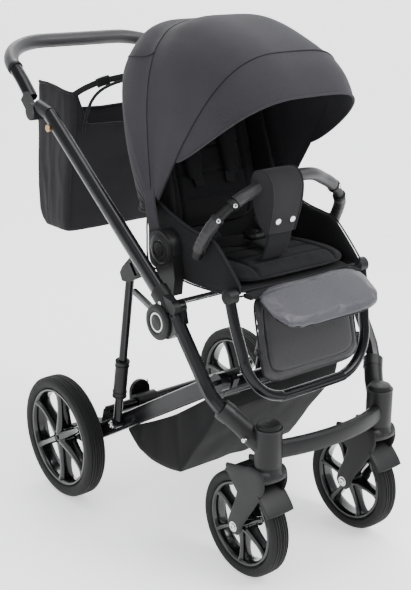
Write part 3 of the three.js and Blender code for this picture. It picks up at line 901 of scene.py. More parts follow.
# ---------------------------------------------------------------- wheels
@dataclass
class Wheel(SubAssembly):
    """A tyre with grooves on a six-spoked gloss rim.

    Args:
        end: "rear" or "front".
        radius: Outer radius.
        rim: Radius of the rim under the tyre.
        width: Tyre width.
        x: Distance of the wheel's middle from the centre plane.
        y: Its place along the pushchair.
        hub: Hub radius.
        dish: Half depth of the spokes at the hub.
    """

    end: str
    radius: float
    rim: float
    width: float
    x: float
    y: float
    hub: float
    dish: float

    def tyre_profile(self) -> list[tuple[float, float]]:
        """Closed outline of the tyre's section as radius and offset."""
        half, r, low = self.width / 2, self.radius, self.rim
        side = [(low + 0.6, half * 0.5), (low + 1.5, half * 0.66), (low + 5, half * 0.86),
                (low + 6.2, half * 0.9),
                (low + 7.2, half * 0.9), (low + 10, half * 0.965), (r - 9, half * 0.985),
                (r - 5, half * 0.93),
                (r - 2.4, half * 0.8)]
        tread = []
        for groove in (0.62, 0.34, 0.08):
            at = groove * half
            crown = r - 1.9 * groove ** 2
            tread += [(crown, at + 1.6), (crown - 1.7, at + 1.0), (crown - 1.7, at - 0.6),
                      (crown, at - 1.2)]
        outer = side + tread
        return outer + [(a, -b) for a, b in reversed(outer)]

    def rim_profile(self) -> list[tuple[float, float]]:
        """Closed outline of the rim's ring."""
        half, low = self.width / 2, self.rim
        outer = [(low + 0.3, half * 0.56), (low + 1.2, half * 0.74), (low - 0.6, half * 0.82),
                 (low - 4.5, half * 0.8), (low - 7.5, half * 0.66), (low - 8.5, half * 0.3)]
        return outer + [(a, -b) for a, b in reversed(outer)]

    def spokes(self, middle: Point, turn: float) -> list[bpy.types.Object]:
        """Six deep tapered spokes.

        Args:
            middle: Wheel centre.
            turn: Angle of the first spoke.

        Returns:
            The spokes.
        """
        made = []
        for i in range(6):
            angle = turn + i * math.pi / 3
            way = np.array((0, math.cos(angle), math.sin(angle)))
            line = [np.array(middle) + way * r for r in np.linspace(self.hub * 0.55, self.rim - 5, 22)]

            def grow(t: float) -> float:
                """Section size: waisted in the middle and flared at both ends."""
                return 0.78 + 0.5 * (1 - t) ** 2.2 + 0.42 * t ** 6
            made.append(sweep("spoke", line, self.dish * 1.12, self.rim * 0.085, sides=28, power=2.8,
                              scale=grow))
        return made

    def build(self) -> None:
        """Build both wheels of this end."""
        for side, sign in SIDES:
            middle = (sign * self.x, self.y, self.radius)
            body = f"{self.end}_wheel_{side}"
            tyre = turned(f"{self.end}_tyre_tread_{side}", self.tyre_profile(), middle, sides=128,
                          closed=True)
            Piece(tyre, body, Finish.TYRE, "tyre", [f"{self.end}_tyre_{side}"])
            half = self.dish
            cap = [(0.01, half + 5.5), (self.hub * 0.3, half + 5.3), (self.hub * 0.52, half + 4.2),
                   (self.hub * 0.62, half + 2.2), (self.hub * 0.66, half + 2.0),
                   (self.hub * 0.95, half + 1.2),
                   (self.hub * 1.12, half - 1.5), (self.hub * 1.16, half - 5)]
            hub = turned("hub", cap + [(a, -b) for a, b in reversed(cap)], middle, sides=64)
            ring = turned("ring", self.rim_profile(), middle, sides=128, closed=True)
            wheel = join_pieces(f"{self.end}_rim_star_{side}",
                                [ring, hub, *self.spokes(middle, 0.32 - sign * 0.2)])
            Piece(wheel, body, Finish.GLOSS, "gloss", [f"{self.end}_rim_{side}"])


# ---------------------------------------------------------------- lower frame
@dataclass
class Chassis(SubAssembly):
    """Legs, swivel beam, cross tube, hinge discs and their small parts.

    Args:
        swivel: x, y and top of a swivel housing.
        disc: y and z of the hinge disc.
    """

    swivel: tuple[float, float, float] = (157.6, -434.5, 352)
    disc: tuple[float, float] = (-209, 529)

    def build(self) -> None:
        """Dress the CAD nodes and add caps, rings and screws."""
        for node in ("front_beam",):
            dress(node, Finish.PLASTIC, 2.0)
        dress("cross_tube", Finish.FRAME, 1.5)
        dress("hinge_rod", Finish.STEEL, 0.5)
        for side, sign in SIDES:
            self.side(side, sign)

    def fork(self, side: str, sign: int) -> None:
        """A front fork with its mudguard.

        Args:
            side: "right" or "left".
            sign: Sign of x on that side.
        """
        x, y, _ = self.swivel
        x *= sign
        wheel = (-369.3, 114.4)
        arc = [(x, wheel[0] + 122.4 * math.cos(a), wheel[1] + 122.4 * math.sin(a))
               for a in np.radians(np.linspace(77, 149, 40))]
        pieces = [slab("cheek", FORK_CHEEK, x + way * 30.5, 3.6, crown=1.4, per=6) for way in (-1, 1)]
        pieces.append(sweep("guard", arc, 35, 3.1, sides=36, power=6, twist=True, rounded=1.5))
        pieces.append(slab("top", FORK_TOP, x, 30, crown=4, per=6))
        boss = [(0.01, 271), (24, 270.8), (26.2, 270), (27, 268), (27.6, 262), (30, 256), (26, 250),
                (0.01, 250)]
        pieces.append(turned("boss", boss, (x, y, 0), axis=(0, 0, 1), sides=48))
        made = join_pieces(f"fork_shell_{side}", pieces)
        Piece(made, f"swivel_{side}", Finish.SHELL, "plastic", [f"front_fork_{side}"])
        for way in (-1, 1):
            head = turned(f"axle_bolt_{side}_{'outer' if way == sign else 'inner'}",
                          [(0.01, 0.2), (3.0, 0.2), (3.2, 1.9), (6.4, 1.8), (7.4, 0.9), (7.6, -0.9),
                           (11, -1.2),
                           (11, -5)], (x + way * 36, *wheel), axis=(way, 0, 0), sides=36)
            Piece(head, f"swivel_{side}", Finish.STEEL, "frame")

    def side(self, side: str, sign: int) -> None:
        """Everything on one side.

        Args:
            side: "right" or "left".
            sign: Sign of x on that side.
        """
        leg = [(sign * -x, y, z) for x, y, z in ((-240, -229, 567), (-239, -254, 530), (-233, -300, 462),
                                                 (-227, -341, 403), (-216, -358, 381), (-203, -370, 367))]
        dress(f"front_leg_{side}", Finish.FRAME, 0.8)
        dress(f"leg_socket_{side}", Finish.SOCKET, 1.2)
        dress(f"hinge_disc_{side}", Finish.PLASTIC, 1.6)
        self.fork(side, sign)
        x, y, top = self.swivel
        cap = [(0.01, 9.2), (16, 9.0), (19.5, 8.2), (20.2, 6.4), (21.6, 6.2), (23.4, 5.6), (24.2, 3.4),
               (24.6, 0.4),
               (28.3, 0.0), (28.6, -2.2), (28.2, -3.0)]
        piece = turned(f"swivel_cap_{side}", cap, (sign * x, y, top), axis=(0, 0, 1), sides=64)
        Piece(piece, "chassis", Finish.SOCKET, "plastic")
        y, z = self.disc
        ring = turned(f"disc_ring_{side}", [(17.2, 0.35), (17.2, -0.6), (20.4, -0.6), (20.4, 0.35)],
                      (sign * 263, y, z), axis=(sign, 0, 0), sides=72, closed=True)
        Piece(ring, "chassis", Finish.WHITE, "plastic")
        face = [(0.01, 1.7), (12.5, 1.6), (15.6, 0.9), (16.4, -0.6)]
        Piece(turned(f"disc_badge_{side}", face, (sign * 263, y, z), axis=(sign, 0, 0), sides=64),
              "chassis", Finish.SOCKET, "plastic")
        rim = [(23, -1.2), (24.5, 1.3), (29, 1.9), (34.4, 1.1), (37.2, -1.4), (37.6, -5.4), (34, -5.6),
               (23, -5.6)]
        Piece(turned(f"disc_edge_{side}", rim, (sign * 263, y, z), axis=(sign, 0, 0), sides=72,
                     closed=True),
              "chassis", Finish.PLASTIC, "plastic")
        for number, (sy, sz) in enumerate(((-392, 352), (-414, 329))):
            screw = turned(f"socket_screw_{side}_{number}", SCREW, (sign * 206, sy, sz), axis=(sign, 0, 0),
                           sides=24)
            Piece(screw, "chassis", Finish.STEEL, "frame")
        collar = sweep(f"leg_collar_{side}", [leg[-2], leg[-1]], 21.6, 21.6, sides=32, rounded=1.5)
        Piece(collar, "chassis", Finish.SOCKET, "plastic")


FORK_CHEEK = [(-450, 266), (-459, 246), (-455, 222), (-440, 196), (-419, 164), (-398, 130), (-390, 109),
              (-378, 97), (-361, 97), (-350, 108), (-351, 124), (-361, 148), (-374, 182), (-379, 210),
              (-369, 229),
              (-346, 237), (-340, 243), (-345, 250), (-372, 256), (-400, 262), (-420, 268)]
FORK_TOP = [(-450, 268), (-461, 258), (-463, 244), (-446, 237), (-410, 243), (-394, 250), (-392, 257),
            (-404, 265),
            (-420, 269)]
SCREW = [(0.01, -0.6), (1.9, -0.6), (2.0, 0.9), (4.0, 0.8), (4.6, 0.1), (4.6, -6)]


# ---------------------------------------------------------------- folding frame
@dataclass
class UpperFrame(SubAssembly):
    """The oval tubes up to the handle, their covers and brackets."""

    def build(self) -> None:
        """Dress the CAD nodes of both sides."""
        for side, sign in SIDES:
            dress(f"upper_tube_{side}", Finish.FRAME, 0.8)
            dress(f"hinge_cover_{side}", Finish.PLASTIC, 2.5)
            dress(f"link_bracket_{side}", Finish.PLASTIC, 1.2)
            dress(f"handle_knuckle_{side}", Finish.PLASTIC, 2.0)
            dress(f"fold_button_{side}", Finish.BRONZE, 0.8)
            for number, (y, z) in enumerate(((-213, 569), (-222, 553))):
                Piece(turned(f"cover_screw_{side}_{number}", SCREW, (sign * 257.5, y, z), axis=(sign, 0, 0),
                             sides=24),
                      "upper_frame", Finish.STEEL, "frame")


@dataclass
class PushHandle(SubAssembly):
    """The tilting handle with its wrapped grip.

    Args:
        half: Half width of the bar.
        corner: Corner radius.
        foot: y, z of the lower bend points.
        bar: y, z of the bar.
        radius: Tube radius.
    """

    half: float = 232
    corner: float = 130
    foot: tuple[tuple[float, float], ...] = ((306, 917), (338, 949), (370, 975))
    bar: tuple[float, float] = (471, 1025)
    radius: float = 15.6

    def path(self) -> np.ndarray:
        """The bar's whole centreline."""
        points = [(-self.half, y, z) for y, z in self.foot]
        (y0, z0), (y1, z1) = self.foot[-1], self.bar
        for step in range(1, 9):
            t = step / 8 * math.pi / 2
            points.append((-self.half + self.corner * (1 - math.cos(t)), y0 + (y1 - y0) * math.sin(t),
                           z0 + (z1 - z0) * math.sin(t)))
        points.append((-50, y1, z1))
        return smooth_line(points + [(-x, y, z) for x, y, z in reversed(points)], 8)

    def build(self) -> None:
        """Build the bar, grip, seam and joint covers."""
        path = self.path()
        Piece(sweep("handle_tube", path, self.radius - 0.6, sides=28), "handle", Finish.FRAME, "frame",
              ["push_handle"])
        length = np.concatenate([[0], np.cumsum(np.linalg.norm(np.diff(path, axis=0), axis=1))])
        keep = (length > 92) & (length < length[-1] - 92)
        grip = path[keep]
        Piece(sweep("handle_grip", grip, self.radius + 1.4, sides=36, rounded=2.5), "handle", Finish.GRIP,
              "grip")
        seam = [p + np.array((0, -0.42, -0.9)) * (self.radius + 1.5) for p in grip]
        Piece(sweep("handle_grip_seam", seam, 0.9, sides=8), "handle", Finish.PIPING, "grip")
        for sign in (-1, 1):
            at = grip[0] if sign < 0 else grip[-1]
            near = grip[2] if sign < 0 else grip[-3]
            way = (at - near) / np.linalg.norm(at - near)
            collar = [(self.radius - 1, 7), (self.radius + 1.2, 6.5), (self.radius + 2.3, 4.5),
                      (self.radius + 2.4, 0),
                      (self.radius + 1.6, -2), (self.radius - 1, -2)]
            Piece(turned(f"grip_collar_{'left' if sign > 0 else 'right'}", collar, at, axis=way,
                         closed=True),
                  "handle", Finish.PLASTIC, "plastic")
        for side, _ in SIDES:
            dress(f"handle_joint_{side}", Finish.PLASTIC, 2.2)


# ---------------------------------------------------------------- rear frame
@dataclass
class RearFrame(SubAssembly):
    """Rear arms, axle bar, sprung links and brake pedal."""

    low: tuple[float, float] = (10, 280)
    high: tuple[float, float] = (-7, 373)

    def build(self) -> None:
        """Dress the CAD nodes and add the sprung sleeves' collars."""
        dress("rear_bar", Finish.FRAME, 0.8)
        dress("brake_pedal", Finish.PLASTIC, 2.2)
        ribs = []
        for i in range(7):
            x = -88 + (i - 3) * 6.6
            ribs.append(sweep("rib", smooth_line([(x, 103.5, 254), (x, 102.2, 248), (x, 102.2, 232)], 4),
                              1.5, 1.2,
                              sides=10))
        Piece(join_pieces("pedal_ribs", ribs), "brake", Finish.SOCKET, "plastic")
        for side, sign in SIDES:
            dress(f"rear_arm_{side}", Finish.FRAME, 1.6)
            dress(f"wheel_carrier_{side}", Finish.PLASTIC, 2.2)
            dress(f"link_tube_{side}", Finish.FRAME, 1.2)
            dress(f"shock_sleeve_{side}", Finish.SOCKET, 1.2)
            way = np.array((0, self.high[0] - self.low[0], self.high[1] - self.low[1]), float)
            span = float(np.linalg.norm(way))
            way /= span
            foot = np.array((sign * 211, *self.low))
            stay = smooth_line([(sign * 212, -62, 546), (sign * 222, -110, 541), (sign * 236, -176, 533)],
                               8)
            Piece(sweep(f"stay_bar_{side}", stay, 5, 8, sides=20, power=3, side=(1, 0, 0)), "chassis",
                  Finish.FRAME, "frame")
            for number, share in enumerate((0.03, 0.14, 0.86, 0.97)):
                ring = [(15.0, -2.2), (16.2, -1.8), (16.6, 0), (16.2, 1.8), (15.0, 2.2), (12, 0)]
                Piece(turned(f"shock_ring_{side}_{number}", ring, foot + way * span * share, axis=way,
                             sides=48,
                             closed=True), f"rear_link_{side}", Finish.PLASTIC, "plastic")
            head = [(0.01, 3.2), (4.2, 3.0), (5.4, 1.8), (5.6, 0.2), (8.4, 0.2), (8.6, -1.2), (8.2, -3)]
            Piece(turned(f"clevis_bolt_{side}", head, (sign * 229, 22, 211), axis=(sign, 0, 0), sides=40),
                  "rear_frame", Finish.STEEL, "frame")


# ---------------------------------------------------------------- seat unit
@dataclass
class SeatUnit(SubAssembly):
    """Seat sides, cushion, back pad, harness and pivot shells.

    Args:
        half: Half width of the seat.
        outline: y, z outline of a seat side.
        back: Middle of the back pad's lower and upper end as y, z.
    """

    half: float = 168
    outline: tuple[tuple[float, float], ...] = ((-52, 598), (-120, 592), (-200, 588), (-280, 592),
                                                (-340, 600),
                                                (-352, 612), (-342, 630), (-279, 688), (-240, 698),
                                                (-200, 704),
                                                (-160, 714), (-120, 727), (-76, 741), (-50, 720),
                                                (-44, 660))
    back: tuple[tuple[float, float], ...] = ((-70, 668), (30, 985))

    def build(self) -> None:
        """Build the whole seat."""
        self.tub()
        self.cushion()
        self.back_pad()
        self.harness()
        self.hubs()

    def tub(self) -> None:
        """Padded sides, base board and their piping."""
        for side, sign in SIDES:
            stand_in = ["seat_shell"] if side == "right" else []
            wing = slab(f"seat_wing_{side}", self.outline, sign * (self.half - 7), 5.2, crown=3.2, per=8)
            Piece(wing, "chassis", Finish.SEAT, "dark_fabric", stand_in)
            edge = smooth_line([(sign * (self.half - 2.4), y, z) for y, z in self.outline], 8, closed=True)
            Piece(sweep(f"seat_wing_piping_{side}", edge, 1.9, sides=10, closed=True), "chassis",
                  Finish.PIPING,
                  "dark_fabric")
        board = pad("seat_base", self.half - 12, 148, 9, Plane((0, -200, 599), (0, 1, -0.02), (0, 0, 1)),
                    corner=9, back=0.7, edge=12)
        Piece(board, "chassis", Finish.SEAT, "dark_fabric")
        bight = smooth_line([(0, -92, 622), (0, -74, 618), (0, -62, 634), (0, -60, 668), (0, -50, 716),
                             (0, -34, 760)], 10)
        rows = np.array([[(x, y - 10 * (x / 134) ** 4, z + 8 * (x / 134) ** 4)
                          for x in np.linspace(-134, 134, 41)]
                         for _, y, z in bight])
        made = sheet_mesh("seat_bight", rows, rows + np.array((0, 3.0, 0)))
        Piece(made, "chassis", Finish.SEAT, "dark_fabric", blend=("backrest", (0, -68, 640), (0, -52, 710)))
        flap = [(x, -357, 602 - 4 * (x / 150) ** 2) for x in np.linspace(-150, 150, 41)]
        Piece(sweep("seat_front_flap", flap, 5, 13, sides=24, power=4, side=(0, 0, 1)), "chassis",
              Finish.SEAT,
              "dark_fabric")
        lip = [(x, -345 - 6 * (1 - (x / 150) ** 2), 607) for x in np.linspace(-156, 156, 41)]
        for number, drop in enumerate((0, -11)):
            Piece(sweep(f"seat_front_welt_{number}", [(x, y + number * 3, z + drop) for x, y, z in lip],
                        2.1,
                        sides=10), "chassis", Finish.PIPING, "dark_fabric")

    def cushion(self) -> None:
        """The seat cushion with sewn channels."""
        def seams(a: float, b: float) -> float:
            """Cross channels and two long ones."""
            cross = min(abs(b - c) for c in (-92, -46, 0, 46, 92))
            along = abs(abs(a) - 104)
            return 5.5 * math.exp(-(cross / 3.6) ** 2) * (abs(a) < 104) + 7 * math.exp(-(along / 4) ** 2)
        plane = Plane((0, -216, 619), (0, 1, -0.023), (0, 0.023, 1))
        made = pad("seat_pad", 151, 128, 21, plane, corner=5, seams=seams, edge=6, cells=72, puff=6)
        Piece(made, "chassis", Finish.SEAT, "dark_fabric", ["seat_cushion"])
        Piece(sweep("seat_pad_piping", outline_ring(151, 128, 5, plane), 2.0, sides=10, closed=True),
              "chassis",
              Finish.PIPING, "dark_fabric")

    def back_pad(self) -> None:
        """The backrest."""
        def seams(a: float, b: float) -> float:
            """Quilting on the backrest."""
            cross = min(abs(b - c) for c in (-110, -55, 0, 55))
            return 5 * math.exp(-(cross / 3.6) ** 2) * (abs(a) < 92) + 6 * math.exp(-((abs(a) - 92) / 4) ** 2)
        for side, sign in SIDES:
            wing = slab(f"back_wing_{side}", ((-58, 664), (-100, 676), (-112, 712), (-104, 768), (-74, 850),
                                              (-40, 930), (2, 980), (28, 982), (8, 920), (-20, 820),
                                              (-44, 730)),
                        sign * 141, 4.5, crown=4, per=7)
            Piece(wing, "backrest", Finish.SEAT, "dark_fabric")
        plane = Plane.between(*self.back)
        made = pad("back_pad", 134, 165, 18, plane, corner=5, seams=seams, edge=6, cells=60, back=0.9,
                   puff=5)
        Piece(made, "backrest", Finish.SEAT, "dark_fabric", ["backrest"])
        Piece(sweep("back_pad_piping", outline_ring(134, 165, 5, plane), 2.0, sides=10, closed=True),
              "backrest",
              Finish.PIPING, "dark_fabric")

    def harness(self) -> None:
        """Shoulder and waist straps, their pads, the crotch strap and the buckle."""
        plane = Plane.between(*self.back)
        for side, sign in SIDES:
            x = sign * 52
            strap = smooth_line([plane.place(x, 96, 15), plane.place(x, 40, 22),
                                 plane.place(x * 0.92, -30, 24),
                                 plane.place(x * 0.8, -84, 28)], 8)
            Piece(sweep(f"shoulder_strap_{side}", strap, 12, 1.1, sides=20, power=5, twist=True),
                  "backrest",
                  Finish.WEBBING, "dark_fabric")
            lie = Plane(tuple(plane.place(x, 8, 27)), plane.along, plane.up)
            made = pad(f"shoulder_pad_{side}", 23, 76, 10, lie, corner=3.4, edge=4, cells=28, back=0.6,
                       seams=lambda a, b: 3 * math.exp(
                           -((superradius(a - x, b, 18, 70, 3.4) - 1) / 0.06) ** 2))
            Piece(made, "backrest", Finish.SEAT, "dark_fabric")
            waist = smooth_line([(sign * 132, -112, 672), (sign * 100, -134, 656), (sign * 62, -168, 652),
                                 (sign * 24, -196, 658)], 8)
            Piece(sweep(f"waist_strap_{side}", waist, 1.1, 11, sides=20, power=5, side=(0, -1, 0)),
                  "chassis",
                  Finish.WEBBING, "dark_fabric")
            lie = Plane((sign * 96, -146, 668), (0, 0.86, 0.5), (0, -0.5, 0.86))
            made = pad(f"waist_pad_{side}", 44, 25, 9, lie, corner=3, edge=4, cells=28, back=0.6)
            Piece(made, "chassis", Finish.SEAT, "dark_fabric")
        lie = Plane((0, -250, 651), (0, 0.99, 0.1), (0, -0.1, 0.99))
        made = pad("crotch_pad", 24, 42, 8, lie, corner=3.4, edge=4, cells=24, back=0.6)
        Piece(made, "chassis", Finish.SEAT, "dark_fabric")
        lie = Plane((0, -200, 665), (0, 1, 0), (0, 0, 1))
        Piece(pad("harness_buckle", 22, 24, 9, lie, corner=3, edge=7, cells=24, back=0.9), "chassis",
              Finish.SOCKET,
              "plastic")
        Piece(turned("buckle_button", [(0.01, 1.6), (7.5, 1.5), (8.6, 0.6), (8.8, -3)], (0, -200, 674),
                     axis=(0, 0, 1), sides=40), "chassis", Finish.SHELL, "plastic")

    def hubs(self) -> None:
        """The rounded pivot shells."""
        for side, sign in SIDES:
            dress(f"seat_hub_{side}", Finish.SHELL, 4.0)
            dress(f"recline_button_{side}", Finish.SOCKET, 1.2)
            dome = [(15.6, -1.4), (15.8, 1.1), (17.4, 1.8), (24, 1.9), (30, 0.9), (34.6, -1.8),
                    (37.6, -6.4),
                    (38.8, -12), (39.0, -30.6), (36, -30.8), (15.6, -30.8)]
            Piece(turned(f"seat_hub_shell_{side}", dome, (sign * 200, -135, 655), axis=(sign, 0, 0),
                         sides=72,
                         closed=True), "chassis", Finish.SHELL, "plastic")


def outline_ring(wide: float, long: float, corner: float, plane: Plane, height: float = 0.0,
                 shape: Callable[[float], float] = lambda b: 1.0, steps: int = 140) -> np.ndarray:
    """Points round a superellipse.

    Args:
        wide: Half width.
        long: Half length.
        corner: Its power.
        plane: Where it lies.
        height: Height over the plane.
        shape: Share of the width kept at a length.
        steps: How many points.

    Returns:
        The closed line.
    """
    line = []
    for angle in np.arange(steps) * 2 * np.pi / steps:
        c, s = math.cos(angle), math.sin(angle)
        k = 1 / (abs(c) ** corner + abs(s) ** corner) ** (1 / corner)
        line.append(plane.place(c * k * wide * shape(s * k), s * k * long, height))
    return np.array(line)


# ---------------------------------------------------------------- canopy
@dataclass
class Canopy(SubAssembly):
    """The hood cover, its visor, seams and piping.

    Args:
        pivot: y and z of the pivot.
        front: Angle of the front bow, from +Y.
        half: Half width.
        power: Squareness of the bows.
        crown: Height of the top at an angle.
        bows: Angles that hold the cloth up.
    """

    pivot: tuple[float, float] = (-95, 720)
    front: float = 122.5
    half: float = 187
    power: float = 3.6
    crown: tuple[tuple[float, float], ...] = ((-4, 96), (12, 108), (26, 139), (40, 196), (52, 284),
                                              (62, 369),
                                              (72, 398), (82, 384), (92, 396), (102, 397), (112, 396),
                                              (122.5, 396))
    bows: tuple[float, ...] = (-4, 62, 83, 122.5)
    reach: tuple[float, float, float] = (68, 77, 0.36)
    rows: int = 150
    columns: int = 150

    def __post_init__(self) -> None:
        """Smooth the crown table once."""
        self.curve = smooth_line([(a, r, 0) for a, r in self.crown], 12)

    def point(self, angle: float, u: float, start: float = 0.1, inset: float = 0.0) -> np.ndarray:
        """A point of the hood.

        Args:
            angle: Angle of the bow, in degrees.
            u: Share of the way along the bow.
            start: Share of the height where the bow starts.
            inset: Distance under the surface.

        Returns:
            The point.
        """
        low = math.asin(start ** (self.power / 2))
        a = low + (math.pi - 2 * low) * u
        x = (self.half - inset) * -math.copysign(abs(math.cos(a)) ** (2 / self.power), math.cos(a))
        r = (np.interp(angle, self.curve[:, 0], self.curve[:, 1]) - inset) * math.sin(a) ** (2 / self.power)
        way = math.radians(angle)
        return np.array((x, self.pivot[0] + r * math.cos(way), self.pivot[1] + r * math.sin(way)))

    def sag(self, angle: float, u: float) -> float:
        """How far the cloth lies under its bows."""
        for low, high in zip(self.bows, self.bows[1:]):
            if low <= angle <= high:
                share = (angle - low) / (high - low)
                depth = min(4.0, (high - low) * 0.12)
                return depth * math.sin(math.pi * share) ** 0.8 * math.sin(math.pi * min(max(u, 0), 1)) ** 0.3
        return 0.0

    def cloth(self, angle: float, u: float, inset: float = 0.0) -> np.ndarray:
        """A point of the cover with its sag and creases."""
        edge = math.sin(math.pi * u)
        crease = (2.4 * math.sin(angle * 0.55 + 4 * edge) * (1 - edge) ** 3
                  * math.exp(-((angle - 14) / 26) ** 2))
        ripple = 1.1 * math.sin(u * 57 + angle * 0.21) * math.exp(-((angle - 8) / 16) ** 2)
        swell = noise_at(angle * 0.05, u * 5, 3.7) * 2.6 + noise_at(angle * 0.016, u * 14, 9.1) * 1.2
        return self.point(angle, u, inset=inset + self.sag(angle, u) + crease + ripple + swell)

    def build(self) -> None:
        """Build the cover, visor and trim."""
        angles = np.linspace(-4, self.front - 0.3, self.rows)
        shares = np.linspace(0, 1, self.columns)
        outer = np.array([[self.cloth(a, u) for u in shares] for a in angles])
        inner = np.array([[self.cloth(a, u, 2.2) for u in shares] for a in angles])
        start = self.point(30, 0.5)
        end = self.point(119, 0.5)
        cover = sheet_mesh("canopy_cloth", outer[:, ::-1], inner[:, ::-1], lining=True)
        Piece(cover, "backrest", Finish.CANOPY, "canopy_fabric", ["canopy_cover"], Finish.LINING,
              ("visor", start, end))
        seam = [self.cloth(83.5, u, -0.3) for u in np.linspace(0, 1, 160)]
        Piece(sweep("canopy_seam", seam, 1.0, sides=8), "backrest", Finish.PIPING, "canopy_fabric",
              blend=("visor", start, end))
        half = smooth_line([(83.5, 0.26, 0), (76, 0.24, 0), (69, 0.255, 0), (63.5, 0.31, 0), (61.5, 0.4, 0),
                            (61, 0.5, 0)], 14)
        vent = [self.cloth(a, u, -0.6) for a, u, _ in half] + [self.cloth(a, 1 - u, -0.6) for a, u,
                                                               _ in half[-2::-1]]
        Piece(sweep("canopy_vent_edge", vent, 1.5, sides=8), "backrest", Finish.PIPING, "canopy_fabric",
              blend=("visor", start, end))
        for side, sign in SIDES:
            line = smooth_line([(sign * 189, -104, 690), (sign * 190, -97, 716), (sign * 189, -90, 744),
                                (sign * 184, -84, 772)], 8)
            Piece(sweep(f"canopy_tab_{side}", line, 2.4, 18, sides=28, power=5, side=(1, 0, 0)), "backrest",
                  Finish.CANOPY, "canopy_fabric")
        hem = [self.cloth(-3.6, u) for u in np.linspace(0, 1, 160)]
        Piece(sweep("canopy_rear_hem", hem, 2.6, sides=12), "backrest", Finish.PIPING, "canopy_fabric")
        self.visor()

    def visor_point(self, t: float, u: float, inset: float = 0.0) -> np.ndarray:
        """A point of the visor, from the front bow at t 0 to its edge at t 1."""
        forward, down, start = self.reach
        x, y, z = self.point(self.front, u, start, inset)
        r = math.hypot(y - self.pivot[0], z - self.pivot[1]) / float(self.curve[-1, 1])
        w = max(0.004, (r - start) / (1 - start)) ** 0.8
        bulge = (12 * math.sin(math.pi * t) + noise_at(t * 1.5, u * 9, 1.3) * 1.2) * w
        return np.array((x * (1 - 0.02 * t), y - 1 - t * w * forward - bulge * 0.6,
                         z - t * w * down + bulge * 0.5))

    def visor(self) -> None:
        """The visor with piping along both edges."""
        steps, shares = np.linspace(0, 1, 26), np.linspace(0, 1, self.columns)
        outer = np.array([[self.visor_point(t, u) for u in shares] for t in steps])
        inner = np.array([[self.visor_point(t, u, 2.4) for u in shares] for t in steps])
        shade = sheet_mesh("visor_cloth", outer[:, ::-1], inner[:, ::-1], lining=True)
        Piece(shade, "visor", Finish.CANOPY,
              "canopy_fabric", ["canopy_visor"], Finish.LINING)
        bow = [self.point(self.front, u, 0.1) for u in np.linspace(0, 1, 170)]
        Piece(sweep("front_bow_piping", bow, 2.2, sides=12), "visor", Finish.PIPING, "canopy_fabric")
        edge = [self.visor_point(1.0, u) for u in np.linspace(0, 1, 150)]
        Piece(sweep("visor_edge_hem", edge, 2.2, sides=12), "visor", Finish.CANOPY, "canopy_fabric")


def smooth_step(value: float, low: float, high: float) -> float:
    """Rise from 0 at low to 1 at high."""
    t = min(1.0, max(0.0, (value - low) / (high - low)))
    return t * t * (3 - 2 * t)


def noise_at(x: float, y: float, z: float) -> float:
    """Smooth noise from -1 to 1."""
    return noise.noise(Vector((x, y, z)))


